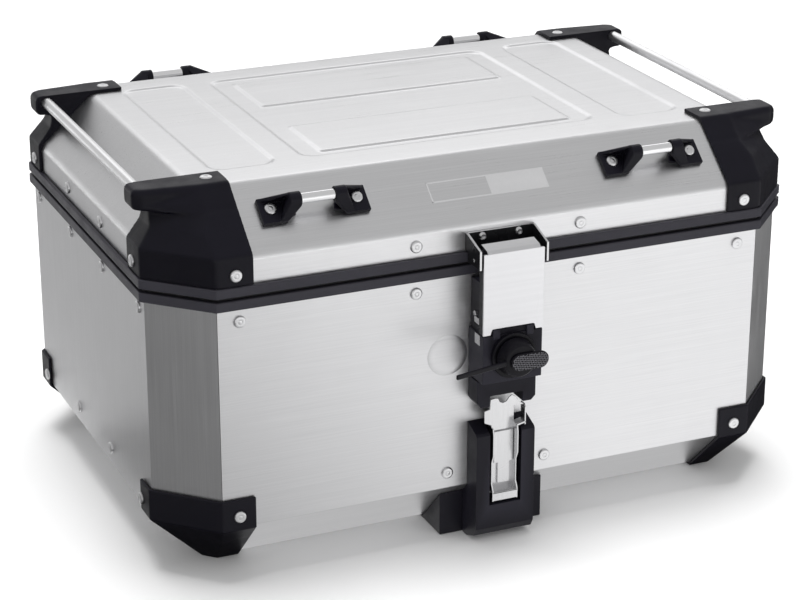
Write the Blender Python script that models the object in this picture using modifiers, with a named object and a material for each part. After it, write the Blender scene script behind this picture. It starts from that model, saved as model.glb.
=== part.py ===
"""Top case for a motorcycle: folded aluminium box, hinged aluminium lid, moulded corner guards, side rails,
tie-down loops, front hasp with a turning lock knob, and a sprung release lever in the lower housing.

Run with: blender --background --python part.py
Units are metres. +Z is up and the front with the lock faces -Y. The origin is on the underside, in the middle
of the case's footprint, where the mounting plate meets a carrier.
"""

import math

import bmesh
import bpy
from mathutils import Matrix, Vector

# Driving dimensions of the box.
WIDTH = 0.582                  # across the side panels
DEPTH = 0.414                  # front panel to rear panel
CORNER_CUT = 0.0455            # 45 degree cut of the upright corners, and of the bottom edges
SHEET = 0.0018                 # aluminium sheet
GAP = 0.0003                   # air between neighbouring pieces
FEET = 0.003                   # the corner guards hold the floor sheet this high
BEND = 0.003                   # radius of the folds
FLOOR_CUT = 0.010              # corner cut of the floor

# Heights.
BASE_RIM_Z = (0.2402, 0.2485)
LID_RIM_Z = (0.2515, 0.2595)
SHEET_TOP = 0.2460             # upper edge of the base sheets, inside the rim's groove
LID_FOLD_Z = 0.2833            # where the lid's upright band turns into its slopes
LID_TOP = 0.3264
LID_INSET_X = 0.0473           # run of the side slopes
LID_INSET_Y = 0.0513           # run of the front and rear slopes
LID_TOP_CUT = 0.012            # corner cut of the lid's flat top
RIM_OUT = 0.0044               # how far the rims stand out from the panels
RIM_IN = 0.0060

# Corner guards.
GUARD = 0.00275                # wall of the guards
LID_GUARD_X = 0.2150           # the lid guards start here, from the middle
LID_GUARD_Y = 0.1295
FOOT_GUARD_X = 0.2175
FOOT_GUARD_Y = 0.1385
FOOT_GUARD_Z = 0.0745

# Rails and tie-down loops.
RAIL_RADIUS = 0.00475
RAIL_X = 0.2840
RAIL_Z = 0.3230
RAIL_HALF = 0.1440
LOOP_X = 0.1530                # middle of each tie-down loop
LOOP_ROD_RADIUS = 0.0043
LOOP_ROD_HALF = 0.0220
LOOP_ROD_SPOT = (0.0357, 0.0155)  # the rod's axis: up the slope from the fold, and out of the slope
LOOP_BOSS = (0.0145, 0.0240)   # ends of the boss round the rod's end, from the loop's middle
LOOP_BOSS_RADIUS = 0.0063
LOOP_FOOT = 0.0045             # thickness of the brackets' feet

# Joint axes.
HINGE_Y, HINGE_Z = 0.2200, 0.2500
HINGE_X = 0.1600
HINGE_HALF = 0.0300
HASP_Y, HASP_Z = -0.2250, 0.2575
KNOB_Z = 0.1740
LEVER_Y, LEVER_Z = -0.2180, 0.0430

# Lock and lower housing.
LOCK_HALF = 0.0270
LOCK_FRONT = -0.2355
HOUSING_FRONT = -0.2260
PANEL_FRONT = -DEPTH / 2


# Fasteners of the front, as (x, z).
CORNER_RIVET = (0.2270, 0.2290)
FRONT_RIVETS = [(x, CORNER_RIVET[1]) for x in (-CORNER_RIVET[0], -0.0745, 0.0745, CORNER_RIVET[0])]
FRONT_RIVETS += [(x, 0.0625) for x in (-0.0455, 0.0455)]
LID_RIVETS = [(-0.0745, 0.2696), (0.0745, 0.2696)]
BRACKET_SCREWS = [(-0.0165, 0.2712), (0.0165, 0.2712)]
RIVET_HOLE = 0.0025
PIN = 0.0015                   # radius of the hasp's and the lever's pins
PIN_HOLE = 0.0018


def clear_scene():
    for item in list(bpy.data.objects):
        bpy.data.objects.remove(item, do_unlink=True)


def make_collection(name):
    collection = bpy.data.collections.new(name)
    bpy.context.scene.collection.children.link(collection)
    return collection


def make_material(name, colour, roughness, metallic):
    material = bpy.data.materials.new(name)
    material.use_nodes = True
    shader = material.node_tree.nodes["Principled BSDF"]
    shader.inputs["Base Color"].default_value = (*colour, 1.0)
    shader.inputs["Roughness"].default_value = roughness
    shader.inputs["Metallic"].default_value = metallic
    return material


clear_scene()
PARTS = make_collection("top_case")
CUTTERS = make_collection("cutters")

ALUMINIUM = make_material("brushed_aluminium", (0.72, 0.72, 0.73), 0.38, 1.0)
PLASTIC = make_material("black_plastic", (0.022, 0.022, 0.026), 0.55, 0.0)
RUBBER = make_material("black_rubber", (0.012, 0.012, 0.012), 0.80, 0.0)
STEEL = make_material("polished_steel", (0.78, 0.78, 0.79), 0.18, 1.0)
RIVET = make_material("rivet_aluminium", (0.66, 0.66, 0.67), 0.30, 1.0)


# ------------------------------------------------------------------------------------ building blocks

def place(name, mesh, material):
    """A visible piece with its own name."""
    mesh.name = name
    mesh.materials.clear()
    mesh.materials.append(material)
    item = bpy.data.objects.new(name, mesh)
    PARTS.objects.link(item)
    return item


def as_cutter(item):
    """Takes a piece out of the assembly and keeps it as a wire guide for a Boolean."""
    PARTS.objects.unlink(item)
    CUTTERS.objects.link(item)
    item.display_type = "WIRE"
    item.hide_render = True
    return item


def combine(target, tool, operation):
    modifier = target.modifiers.new(operation.lower(), "BOOLEAN")
    modifier.operation = operation
    modifier.solver = "EXACT"
    modifier.object = as_cutter(tool)
    return target


def cut(target, tool):
    return combine(target, tool, "DIFFERENCE")


def join(target, tool):
    return combine(target, tool, "UNION")


def keep_inside(target, tool):
    return combine(target, tool, "INTERSECT")


def soften(item, width, angle=35):
    """Rounded edges, on folds sharper than the angle in degrees."""
    modifier = item.modifiers.new("bevel", "BEVEL")
    modifier.width = width
    modifier.segments = 2
    modifier.limit_method = "ANGLE"
    modifier.angle_limit = math.radians(angle)
    modifier.use_clamp_overlap = True
    return item


def axis_matrix(axis):
    """Turns a shape drawn in XY and thick along Z so that its thickness runs along the given axis."""
    if axis == "X":
        return Matrix(((0, 0, 1, 0), (1, 0, 0, 0), (0, 1, 0, 0), (0, 0, 0, 1)))
    if axis == "Y":
        return Matrix(((1, 0, 0, 0), (0, 0, -1, 0), (0, 1, 0, 0), (0, 0, 0, 1)))
    return Matrix.Identity(4)


def slab(name, outlines, start, end, axis, material):
    """A flat outline, the first loop, with any holes, the other loops, from start to end along an axis."""
    curve = bpy.data.curves.new(name, "CURVE")
    curve.dimensions = "2D"
    curve.fill_mode = "BOTH"
    curve.extrude = (end - start) / 2
    for outline in outlines:
        spline = curve.splines.new("POLY")
        spline.points.add(len(outline) - 1)
        for point, (u, v) in zip(spline.points, outline):
            point.co = (u, v, 0.0, 1.0)
        spline.use_cyclic_u = True
    guide = bpy.data.objects.new(name, curve)
    CUTTERS.objects.link(guide)
    depsgraph = bpy.context.evaluated_depsgraph_get()
    mesh = bpy.data.meshes.new_from_object(guide.evaluated_get(depsgraph))
    bpy.data.objects.remove(guide, do_unlink=True)
    bm = bmesh.new()
    bm.from_mesh(mesh)
    bmesh.ops.remove_doubles(bm, verts=bm.verts, dist=1e-6)
    bmesh.ops.dissolve_limit(bm, angle_limit=0.001, verts=bm.verts, edges=bm.edges)
    middle = (start + end) / 2
    shift = {"X": Vector((middle, 0, 0)), "Y": Vector((0, middle, 0)), "Z": Vector((0, 0, middle))}[axis]
    bm.transform(Matrix.Translation(shift) @ axis_matrix(axis))
    bmesh.ops.recalc_face_normals(bm, faces=bm.faces)
    bm.to_mesh(mesh)
    bm.free()
    return place(name, mesh, material)


def box(name, low, high, material):
    mesh = bpy.data.meshes.new(name)
    bm = bmesh.new()
    bmesh.ops.create_cube(bm, size=1.0)
    size = Vector(high) - Vector(low)
    middle = (Vector(high) + Vector(low)) / 2
    bm.transform(Matrix.Translation(middle) @ Matrix.Diagonal((*size, 1.0)))
    bm.to_mesh(mesh)
    bm.free()
    return place(name, mesh, material)


def rod(name, radius, start, end, axis, centre, material, segments=24):
    """A round bar from start to end along an axis, through a centre in the other two coordinates."""
    mesh = bpy.data.meshes.new(name)
    bm = bmesh.new()
    bmesh.ops.create_cone(bm, cap_ends=True, segments=segments, radius1=radius, radius2=radius,
                          depth=end - start)
    middle = (start + end) / 2
    spot = {"X": (middle, *centre), "Y": (centre[0], middle, centre[1]), "Z": (*centre, middle)}[axis]
    bm.transform(Matrix.Translation(spot) @ axis_matrix(axis))
    bm.to_mesh(mesh)
    bm.free()
    for polygon in mesh.polygons:
        polygon.use_smooth = True
    mesh.set_sharp_from_angle(angle=math.radians(40))
    return place(name, mesh, material)


def hull(name, points, material):
    """The convex form round a set of points."""
    mesh = bpy.data.meshes.new(name)
    bm = bmesh.new()
    for point in points:
        bm.verts.new(point)
    result = bmesh.ops.convex_hull(bm, input=bm.verts)
    inside = [item for item in result["geom_interior"] if isinstance(item, bmesh.types.BMVert)]
    bmesh.ops.delete(bm, geom=inside, context="VERTS")
    bmesh.ops.dissolve_limit(bm, angle_limit=math.radians(0.5), verts=bm.verts, edges=bm.edges)
    bm.to_mesh(mesh)
    bm.free()
    return place(name, mesh, material)


def turned(name, profile, start, axis, centre, material, segments=32):
    """A turned piece. The profile lists (radius, distance from start) from one end of its axis to the other.

    On the Y axis the distance runs towards -Y.
    """
    mesh = bpy.data.meshes.new(name)
    bm = bmesh.new()
    points = [bm.verts.new((radius, 0.0, along)) for radius, along in profile]
    edges = [bm.edges.new(pair) for pair in zip(points, points[1:])]
    bmesh.ops.spin(bm, geom=points + edges, cent=(0, 0, 0), axis=(0, 0, 1), angle=math.tau, steps=segments,
                   use_duplicate=False)
    bmesh.ops.remove_doubles(bm, verts=bm.verts, dist=1e-6)
    spot = {"X": (start, *centre), "Y": (centre[0], start, centre[1]), "Z": (*centre, start)}[axis]
    bm.transform(Matrix.Translation(spot) @ axis_matrix(axis))
    bmesh.ops.recalc_face_normals(bm, faces=bm.faces)
    bm.to_mesh(mesh)
    bm.free()
    for polygon in mesh.polygons:
        polygon.use_smooth = True
    mesh.set_sharp_from_angle(angle=math.radians(35))
    return place(name, mesh, material)


def loft(name, rings, material):
    """A closed skin through rings of points, for sections that change shape from one level to the next."""
    mesh = bpy.data.meshes.new(name)
    bm = bmesh.new()
    loops = [[bm.verts.new(point) for point in ring] for ring in rings]
    for lower, upper in zip(loops, loops[1:]):
        count = len(lower)
        for i in range(count):
            j = (i + 1) % count
            bm.faces.new((lower[i], lower[j], upper[j], upper[i]))
    bm.faces.new(list(reversed(loops[0])))
    bm.faces.new(loops[-1])
    bmesh.ops.recalc_face_normals(bm, faces=bm.faces)
    bm.to_mesh(mesh)
    bm.free()
    return place(name, mesh, material)


# -------------------------------------------------------------------------------- outlines of the box

def octagon(half_x, half_y, corner):
    """A rectangle with its corners cut, as points in plan."""
    outline = []
    for sign_x, sign_y, along_first in ((1, -1, True), (1, 1, False), (-1, 1, True), (-1, -1, False)):
        on_front = (sign_x * (half_x - corner), sign_y * half_y)
        on_side = (sign_x * half_x, sign_y * (half_y - corner))
        outline += [on_front, on_side] if along_first else [on_side, on_front]
    return outline


def box_plan(offset=0.0):
    """The plan of the case, moved outwards by an offset. The cut corners stay at 45 degrees."""
    corner = CORNER_CUT + offset * (2 - math.sqrt(2))
    return octagon(WIDTH / 2 + offset, DEPTH / 2 + offset, corner)


def at_height(outline, z):
    return [(x, y, z) for x, y in outline]


def base_hull(name, offset, top, material):
    """The outer form of the box: cut corners, and 45 degree faces under the front, rear and sides."""
    ease = offset * math.tan(math.radians(22.5))
    floor = octagon(WIDTH / 2 - CORNER_CUT + ease, DEPTH / 2 - CORNER_CUT + ease, FLOOR_CUT)
    rings = [at_height(floor, FEET - offset), at_height(box_plan(offset), FEET + CORNER_CUT - ease),
             at_height(box_plan(offset), top)]
    return loft(name, rings, material)


def lid_hull(name, offset, bottom, material):
    """The outer form of the lid: an upright band, four slopes and a flat top."""
    slope = math.atan2(LID_TOP - LID_FOLD_Z, LID_INSET_Y)
    ease = offset * math.tan(slope / 2)
    top = octagon(WIDTH / 2 - LID_INSET_X + ease, DEPTH / 2 - LID_INSET_Y + ease, LID_TOP_CUT)
    fold = box_plan(offset)
    rings = [at_height(fold, bottom), at_height(fold, LID_FOLD_Z + ease), at_height(top, LID_TOP + offset)]
    return soften(loft(name, rings, material), BEND + offset, angle=12)


# ----------------------------------------------------------------------------------------------- base

def base_sheets():
    """One sheet wraps the front, floor and rear. Two more close the sides and the cut corners."""
    seam = WIDTH / 2 - CORNER_CUT
    high = SHEET_TOP + 0.01
    inner = {"offset": -SHEET, "top": high, "material": ALUMINIUM}

    def tub(name):
        shell = base_hull(name, 0.0, high, ALUMINIUM)
        cut(shell, base_hull(f"{name}_inside", **inner))
        return shell

    wrap = tub("base_wrap_sheet")
    keep_inside(wrap, box("wrap_limits", (-seam, -DEPTH, -0.1), (seam, DEPTH, SHEET_TOP), ALUMINIUM))
    for spot in FRONT_RIVETS:
        cut(wrap, rivet_hole("wrap_rivet_hole", spot))
    for side, name in ((-1, "side_sheet_left"), (1, "side_sheet_right")):
        sheet = tub(name)
        edges = sorted((side * (seam + GAP), side * WIDTH))
        limits = box(f"{name}_limits", (edges[0], -DEPTH, -0.1), (edges[1], DEPTH, SHEET_TOP), ALUMINIUM)
        keep_inside(sheet, limits)
        for end in (-1, 1):
            add_seam_flange(sheet, side, end, seam)


def add_seam_flange(sheet, side, end, seam):
    """The strip of the side sheet that lies behind the edge of the front or rear panel."""
    outside = DEPTH / 2 - SHEET - 0.0010
    depth = sorted((end * outside, end * (outside - SHEET)))
    across = sorted((side * (seam + 0.0013), side * (seam - 0.0300)))
    low = (across[0], depth[0], FEET + CORNER_CUT + 0.006)
    high = (across[1], depth[1], BASE_RIM_Z[0] - GAP)
    join(sheet, box(f"{sheet.name}_flange", low, high, ALUMINIUM))
    if end < 0:
        cut(sheet, rivet_hole(f"{sheet.name}_hole", (side * CORNER_RIVET[0], CORNER_RIVET[1])))


def rivet_hole(name, spot):
    """A cutter through the front panel at a spot (x, z)."""
    return rod(name, RIVET_HOLE, PANEL_FRONT - 0.01, PANEL_FRONT + 0.01, "Y", spot, STEEL, 12)


def rims_and_seal():
    """Two channels close the sheet edges, and the rubber seal lies between them."""
    groove = [box_plan(GAP), box_plan(-SHEET - GAP)]
    base = slab("base_rim", [box_plan(RIM_OUT), box_plan(-RIM_IN)], *BASE_RIM_Z, "Z", PLASTIC)
    cut(base, slab("base_rim_groove", groove, BASE_RIM_Z[0] - 0.01, SHEET_TOP + GAP, "Z", PLASTIC))
    lid = slab("lid_rim", [box_plan(RIM_OUT), box_plan(-RIM_IN)], *LID_RIM_Z, "Z", PLASTIC)
    cut(lid, slab("lid_rim_groove", groove, LID_RIM_Z[0] + 0.002, LID_RIM_Z[1] + 0.01, "Z", PLASTIC))
    seal = [box_plan(0.0005), box_plan(-0.0045)]
    slab("rim_seal", seal, BASE_RIM_Z[1] + GAP, LID_RIM_Z[0] - GAP, "Z", RUBBER)


def foot_guards():
    """Moulded guards on the four lower corners. The case stands on them."""
    for name, sign_x, sign_y in corners("foot_guard"):
        guard = base_hull(name, FEET, FOOT_GUARD_Z + 0.01, PLASTIC)
        cut(guard, base_hull(f"{name}_inside", GAP, FOOT_GUARD_Z + 0.02, PLASTIC))
        edges_x = sorted((sign_x * FOOT_GUARD_X, sign_x * WIDTH))
        edges_y = sorted((sign_y * FOOT_GUARD_Y, sign_y * DEPTH))
        low = (edges_x[0], edges_y[0], -0.01)
        high = (edges_x[1], edges_y[1], FOOT_GUARD_Z)
        keep_inside(guard, box(f"{name}_limits", low, high, PLASTIC))


def corners(prefix):
    """Front left, front right, rear left and rear right."""
    for end, sign_y in (("front", -1), ("rear", 1)):
        for side, sign_x in (("left", -1), ("right", 1)):
            yield f"{prefix}_{end}_{side}", sign_x, sign_y


def floor_mat():
    low = FEET + SHEET + GAP
    outline = octagon(WIDTH / 2 - CORNER_CUT - 0.004, DEPTH / 2 - CORNER_CUT - 0.004, 0.006)
    slab("floor_mat", [outline], low, low + 0.003, "Z", RUBBER)


# ------------------------------------------------------------------------------------------------ lid

def lid_shell():
    bottom = LID_RIM_Z[0] + 0.002 + GAP
    shell = lid_hull("lid_shell", 0.0, bottom, ALUMINIUM)
    cut(shell, lid_hull("lid_shell_inside", -SHEET, bottom - 0.01, ALUMINIUM))
    for spot in LID_RIVETS + BRACKET_SCREWS:
        cut(shell, rivet_hole("lid_rivet_hole", spot))


def slope_y(z, offset):
    """Where the front slope, moved outwards by an offset, stands at a height. Positive towards the front."""
    ease = offset * math.tan(math.atan2(LID_TOP - LID_FOLD_Z, LID_INSET_Y) / 2)
    rise = max(0.0, z - LID_FOLD_Z - ease)
    return DEPTH / 2 + offset - rise * LID_INSET_Y / (LID_TOP - LID_FOLD_Z)


def lid_guard_rings():
    """Sections of one lid guard, from the rim up: body, lip, hand hollow, overhanging arm and top plate.

    Each section runs from the inner corner round the side and the cut corner to the front.
    """
    rim = LID_RIM_Z[1] + GAP
    plate = LID_TOP + 0.0030
    front = DEPTH / 2 + GUARD
    side = WIDTH / 2 + 0.0030
    edge = WIDTH / 2 - CORNER_CUT - 0.0020
    cut_line = WIDTH / 2 + DEPTH / 2 - CORNER_CUT + 0.0039

    def section(z, side_x, corner_y, middle, front_edge, front_y):
        return [(LID_GUARD_X, LID_GUARD_Y, z), (side_x, LID_GUARD_Y, z), (side_x, corner_y, z), (*middle, z),
                (*front_edge, z), (edge, front_y, z), (LID_GUARD_X, front_y, z)]

    body = {"side_x": side, "corner_y": cut_line - side, "middle": (0.2700, cut_line - 0.2700),
            "front_edge": (cut_line - front, front)}
    neck_line = cut_line - 0.0170
    low_y, high_y = slope_y(0.3000, GUARD), slope_y(0.3110, GUARD)
    arm = {"corner_y": 0.1500, "middle": (0.2870, 0.1550)}
    return [
        section(rim, front_y=front, **body),
        section(0.2845, front_y=front, **body),
        section(0.3000, 0.2820, neck_line - 0.2820, (0.2660, neck_line - 0.2660),
                (neck_line - low_y, low_y), low_y),
        section(0.3110, 0.2820, 0.1500, (0.2640, 0.1610), (0.2440, high_y - 0.0014), high_y),
        section(0.3130, 0.2925, front_edge=(0.2440, 0.1742), front_y=slope_y(0.3130, GUARD), **arm),
        section(0.3160, 0.2940, front_edge=(0.2440, 0.1706), front_y=slope_y(0.3160, GUARD), **arm),
        section(0.3255, 0.2940, front_edge=(0.2440, 0.1600), front_y=slope_y(0.3255, GUARD), **arm),
        section(plate - 0.0008, 0.2920, 0.1490, (0.2860, 0.1530), (0.2440, 0.1570), 0.1575),
        section(plate, 0.2900, 0.1480, (0.2850, 0.1515), (0.2440, 0.1555), 0.1560),
    ]


def lid_guards():
    """Moulded guards on the lid's corners. Their arms hold the side rails."""
    for name, sign_x, sign_y in corners("lid_guard"):
        rings = [[(sign_x * x, sign_y * y, z) for x, y, z in ring] for ring in lid_guard_rings()]
        guard = loft(name, rings, PLASTIC)
        cut(guard, lid_hull(f"{name}_inside", GAP, LID_RIM_Z[1] - 0.02, PLASTIC))
        reach = sorted((sign_y * 0.1, sign_y * (RAIL_HALF + GAP)))
        rail_spot = (sign_x * RAIL_X, RAIL_Z)
        cut(guard, rod(f"{name}_rail_socket", RAIL_RADIUS + GAP, *reach, "Y", rail_spot, PLASTIC))


def side_rails():
    for name, side in (("side_rail_left", -1), ("side_rail_right", 1)):
        rod(name, RAIL_RADIUS, -RAIL_HALF, RAIL_HALF, "Y", (side * RAIL_X, RAIL_Z), ALUMINIUM, 32)


def slope_matrix(x, end):
    """A frame on the front (end -1) or rear (end 1) slope: U along +X or -X, V up the slope, W out of it."""
    angle = math.atan2(LID_TOP - LID_FOLD_Z, LID_INSET_Y)
    across = Vector((-end, 0, 0))
    upward = Vector((0, -end * math.cos(angle), math.sin(angle)))
    outward = across.cross(upward)
    origin = Vector((x, end * DEPTH / 2, LID_FOLD_Z))
    frame = Matrix((across, upward, outward)).transposed().to_4x4()
    return Matrix.Translation(origin) @ frame


def arc(radius, start, end, steps):
    """Places round the rod's axis, as (up the slope, out of the slope), between two angles in degrees."""
    angles = [math.radians(start + (end - start) * i / steps) for i in range(steps + 1)]
    centre_v, centre_w = LOOP_ROD_SPOT
    return [(centre_v + radius * math.cos(a), centre_w + radius * math.sin(a)) for a in angles]


def tie_bracket(name, hand):
    """A bracket in its slope's frame: a flat foot for the rivet, and two walls rising to a boss for the rod.

    The walls start inside the foot and end inside each other, so that no faces coincide.
    """
    foot = [(0.0460, 0.0235), (0.0460, 0.0470), (0.0250, 0.0470), (0.0250, 0.0235)]
    low, high = 0.0012, LOOP_FOOT - 0.0005
    inner_wall = [(u, v, w) for u in LOOP_BOSS for v, w in arc(LOOP_BOSS_RADIUS, 0, 342, 19)]
    inner_wall += [(u, v, w) for u, v in ((0.0252, 0.0237), (0.0320, 0.0237), (0.0252, 0.0380))
                   for w in (low, high)]
    upper_wall = [(u, v, w) for u in (0.0190, 0.0238) for v, w in arc(LOOP_BOSS_RADIUS - 0.0002, 8, 74, 3)]
    upper_wall += [(0.0457, v, w) for v in (0.0440, 0.0468) for w in (low, high)]
    upper_wall += [(0.0256, v, low) for v in (0.0430, 0.0468)]
    bracket = slab(name, [[(hand * u, v) for u, v in foot]], GAP, LOOP_FOOT, "Z", PLASTIC)
    for part, points in (("inner_wall", inner_wall), ("upper_wall", upper_wall)):
        join(bracket, hull(f"{name}_{part}", [(hand * u, v, w) for u, v, w in points], PLASTIC))
    reach = sorted((hand * 0.0100, hand * (LOOP_ROD_HALF + GAP)))
    return cut(bracket, rod(f"{name}_hole", LOOP_ROD_RADIUS + GAP, *reach, "X", LOOP_ROD_SPOT, PLASTIC))


def tie_down_loops():
    """Two loops on each of the front and rear slopes: two brackets with a steel rod between them."""
    for end, end_name in ((-1, "front"), (1, "rear")):
        for side, side_name in ((-1, "left"), (1, "right")):
            frame = slope_matrix(side * LOOP_X, end)
            pieces = [tie_bracket(f"tie_bracket_{end_name}_{side_name}_{hand_name}", hand)
                      for hand, hand_name in ((-1, "a"), (1, "b"))]
            pieces.append(rod(f"tie_rod_{end_name}_{side_name}", LOOP_ROD_RADIUS, -LOOP_ROD_HALF,
                              LOOP_ROD_HALF, "X", LOOP_ROD_SPOT, STEEL))
            for piece in pieces:
                tools = [modifier.object for modifier in piece.modifiers if modifier.type == "BOOLEAN"]
                for item in (piece, *tools):
                    item.data.transform(frame)


# --------------------------------------------------------------------------------------------- hinges

def hinges():
    """Two hinges behind the rims. The middle knuckle belongs to the lid leaf."""
    panel = DEPTH / 2 + GAP
    rim = DEPTH / 2 + RIM_OUT + 0.0004
    profile = [(panel, 0.0100), (panel, 0.0290), (panel + 0.0020, 0.0290), (rim + 0.0017, 0.0190),
               (rim + 0.0067, 0.0040), (rim + 0.0067, 0.0012), (rim, 0.0012), (rim, 0.0100)]
    for name, side in (("left", -1), ("right", 1)):
        middle = side * HINGE_X
        for owner, sign in (("base", -1), ("lid", 1)):
            outline = [(y, HINGE_Z + sign * rise) for y, rise in profile]
            edges = (middle - HINGE_HALF, middle + HINGE_HALF)
            leaf = slab(f"hinge_leaf_{owner}_{name}", [outline], *edges, "X", STEEL)
            join(leaf, knuckle(f"{leaf.name}_knuckle", 0.0043, middle, HINGE_HALF))
            for start, end in knuckle_gaps(owner):
                centre = middle + (start + end) / 2
                cut(leaf, knuckle(f"{leaf.name}_space", 0.0050, centre, (end - start) / 2))
            cut(leaf, knuckle(f"{leaf.name}_bore", 0.0023, middle, HINGE_HALF + 0.01))
        rod(f"hinge_pin_{name}", 0.0020, middle - HINGE_HALF - 0.001, middle + HINGE_HALF + 0.001, "X",
            (HINGE_Y, HINGE_Z), STEEL, 16)


def knuckle(name, radius, middle, half):
    return rod(name, radius, middle - half, middle + half, "X", (HINGE_Y, HINGE_Z), STEEL, 20)


def knuckle_gaps(owner):
    """The stretches along the pin that the other leaf's knuckles fill."""
    split = 0.0130
    if owner == "base":
        return [(-split - GAP, split + GAP)]
    return [(-HINGE_HALF - 0.002, -split + GAP), (split - GAP, HINGE_HALF + 0.002)]


# ----------------------------------------------------------------------------------------------- lock

def hasp_bracket():
    """A steel U on the lid's front, which carries the hasp's pin between its two cheeks."""
    half, low, high = 0.0310, LID_RIM_Z[1] + 0.0007, 0.2755
    plate = [(-half, low), (half, low), (half, high), (-half, high)]
    back = slab("hasp_bracket", [plate], PANEL_FRONT - 0.0018, PANEL_FRONT - GAP, "Y", STEEL)
    clear_of_rim = PANEL_FRONT - RIM_OUT - 0.0011
    cheek = [(PANEL_FRONT - GAP, low), (PANEL_FRONT - GAP, high), (PANEL_FRONT - 0.0040, high),
             (LOCK_FRONT, 0.2680), (LOCK_FRONT, 0.2520), (clear_of_rim, 0.2520), (clear_of_rim, low)]
    for side in (-1, 1):
        reach = sorted((side * (half - 0.0017), side * half))
        join(back, slab(f"hasp_bracket_cheek_{side + 1}", [cheek], *reach, "X", STEEL))
    for spot in BRACKET_SCREWS:
        cut(back, rivet_hole("bracket_screw_hole", spot))
    cut(back, pin_hole("bracket_pin_hole", 0.05, (HASP_Y, HASP_Z)))


def pin_hole(name, half, spot):
    """A cutter for a pin that runs across, at a spot (y, z)."""
    return rod(name, PIN_HOLE, -half, half, "X", spot, STEEL, 16)


def hasp():
    """The cover that swings up: a front plate notched for the lock's ears, two side flanges and a top lip."""
    half = 0.0275
    face = [(-half, 0.1940), (-0.0205, 0.1940), (-0.0190, 0.1990), (0.0190, 0.1990), (0.0205, 0.1940),
            (half, 0.1940), (half, 0.2650), (0.0240, 0.2672), (-0.0240, 0.2672), (-half, 0.2650)]
    cover = slab("hasp", [face], LOCK_FRONT - 0.0005, LOCK_FRONT + 0.0010, "Y", STEEL)
    lip = [(LOCK_FRONT - 0.0005, 0.2640), (-0.2335, 0.2672), (-0.2225, 0.2695), (-0.2225, 0.2680),
           (-0.2330, 0.2655), (LOCK_FRONT + 0.0010, 0.2640)]
    join(cover, slab("hasp_lip", [lip], -0.0232, 0.0232, "X", STEEL))
    flange = [(LOCK_FRONT, 0.1945), (LOCK_FRONT, 0.2640), (-0.2300, 0.2640), (-0.2215, 0.2610),
              (-0.2215, 0.2540), (-0.2280, 0.2440), (-0.2280, 0.1945)]
    for side in (-1, 1):
        reach = sorted((side * (half - 0.0015), side * half))
        join(cover, slab(f"hasp_flange_{side + 1}", [flange], *reach, "X", STEEL))
    cut(cover, pin_hole("hasp_pin_hole", 0.05, (HASP_Y, HASP_Z)))


def lock():
    """The plastic lock body under the hasp, the steel catch inside it, the bezel and the turning knob."""
    back = PANEL_FRONT - GAP
    lower = [(-LOCK_HALF, 0.1506), (LOCK_HALF, 0.1506), (LOCK_HALF, 0.1932), (-LOCK_HALF, 0.1932)]
    body = slab("lock_body", [lower], LOCK_FRONT, back, "Y", PLASTIC)
    upper = [(-0.0252, 0.1900), (0.0252, 0.1900), (0.0252, 0.2370), (-0.0252, 0.2370)]
    join(body, slab("lock_body_upper", [upper], LOCK_FRONT + 0.0016, back, "Y", PLASTIC))
    for side in (-1, 1):
        reach = sorted((side * 0.0120, side * 0.0185))
        ear = [(reach[0], 0.1900), (reach[1], 0.1900), (reach[1], 0.1985), (reach[0], 0.1985)]
        join(body, slab(f"lock_ear_{side + 1}", [ear], LOCK_FRONT - 0.0012, LOCK_FRONT + 0.004, "Y", PLASTIC))
    window = box("catch_window", (-0.05, -0.2260, 0.1995), (0.05, -0.2150, 0.2055), PLASTIC)
    cut(body, window)
    cut(body, rod("barrel_bore", 0.0083, LOCK_FRONT - 0.01, -0.2200, "Y", (0.0, KNOB_Z), PLASTIC, 24))
    box("hasp_catch", (-0.0258, -0.2257, 0.1998), (0.0258, -0.2153, 0.2052), STEEL)

    ring = [(0.0083, 0.0), (0.0190, 0.0), (0.0200, 0.0010), (0.0200, 0.0022), (0.0185, 0.0032),
            (0.0083, 0.0032), (0.0083, 0.0)]
    turned("lock_bezel", ring, LOCK_FRONT - GAP, "Y", (0.0, KNOB_Z), PLASTIC, 40)
    knob = [(0.0, 0.0), (0.0080, 0.0), (0.0080, 0.0178), (0.0130, 0.0178), (0.0130, 0.0290), (0.0118, 0.0305),
            (0.0, 0.0305)]
    turned("lock_knob", knob, -0.2215, "Y", (0.0, KNOB_Z), PLASTIC, 40)
    grip = rounded_bar(-0.0100, 0.0240, 0.0075, KNOB_Z)
    soften(slab("knob_grip", [grip], -0.2553, -0.2523, "Y", PLASTIC), 0.0006)
    arm = [(-0.0130, -0.2523), (-0.0625, -0.2628), (-0.0630, -0.2606), (-0.0300, -0.2532), (-0.0136, -0.2497)]
    slab("knob_arm", [arm], KNOB_Z - 0.0021, KNOB_Z + 0.0021, "Z", PLASTIC)


def rounded_bar(left, right, radius, height, steps=10):
    """The outline of a flat bar with round ends."""
    outline = []
    for centre, start in ((right - radius, -90), (left + radius, 90)):
        for step in range(steps + 1):
            angle = math.radians(start + 180 * step / steps)
            outline.append((centre + radius * math.cos(angle), height + radius * math.sin(angle)))
    return outline


def under_slope(y):
    """Height just below the 45 degree face under the front panel, at a depth y."""
    return FEET + CORNER_CUT - GAP * 1.5 + PANEL_FRONT - y


def mount_plate():
    """The plate under the floor that the carrier holds. Its front end turns up under the front panel."""
    front, top = -0.1985, FEET - GAP
    bend = FEET + CORNER_CUT - GAP * 1.5 + PANEL_FRONT - top
    side_view = [(front, 0.0), (0.1200, 0.0), (0.1200, top), (bend, top), (front, under_slope(front))]
    slab("mount_plate", [side_view], -0.0480, 0.0480, "X", PLASTIC)


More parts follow.
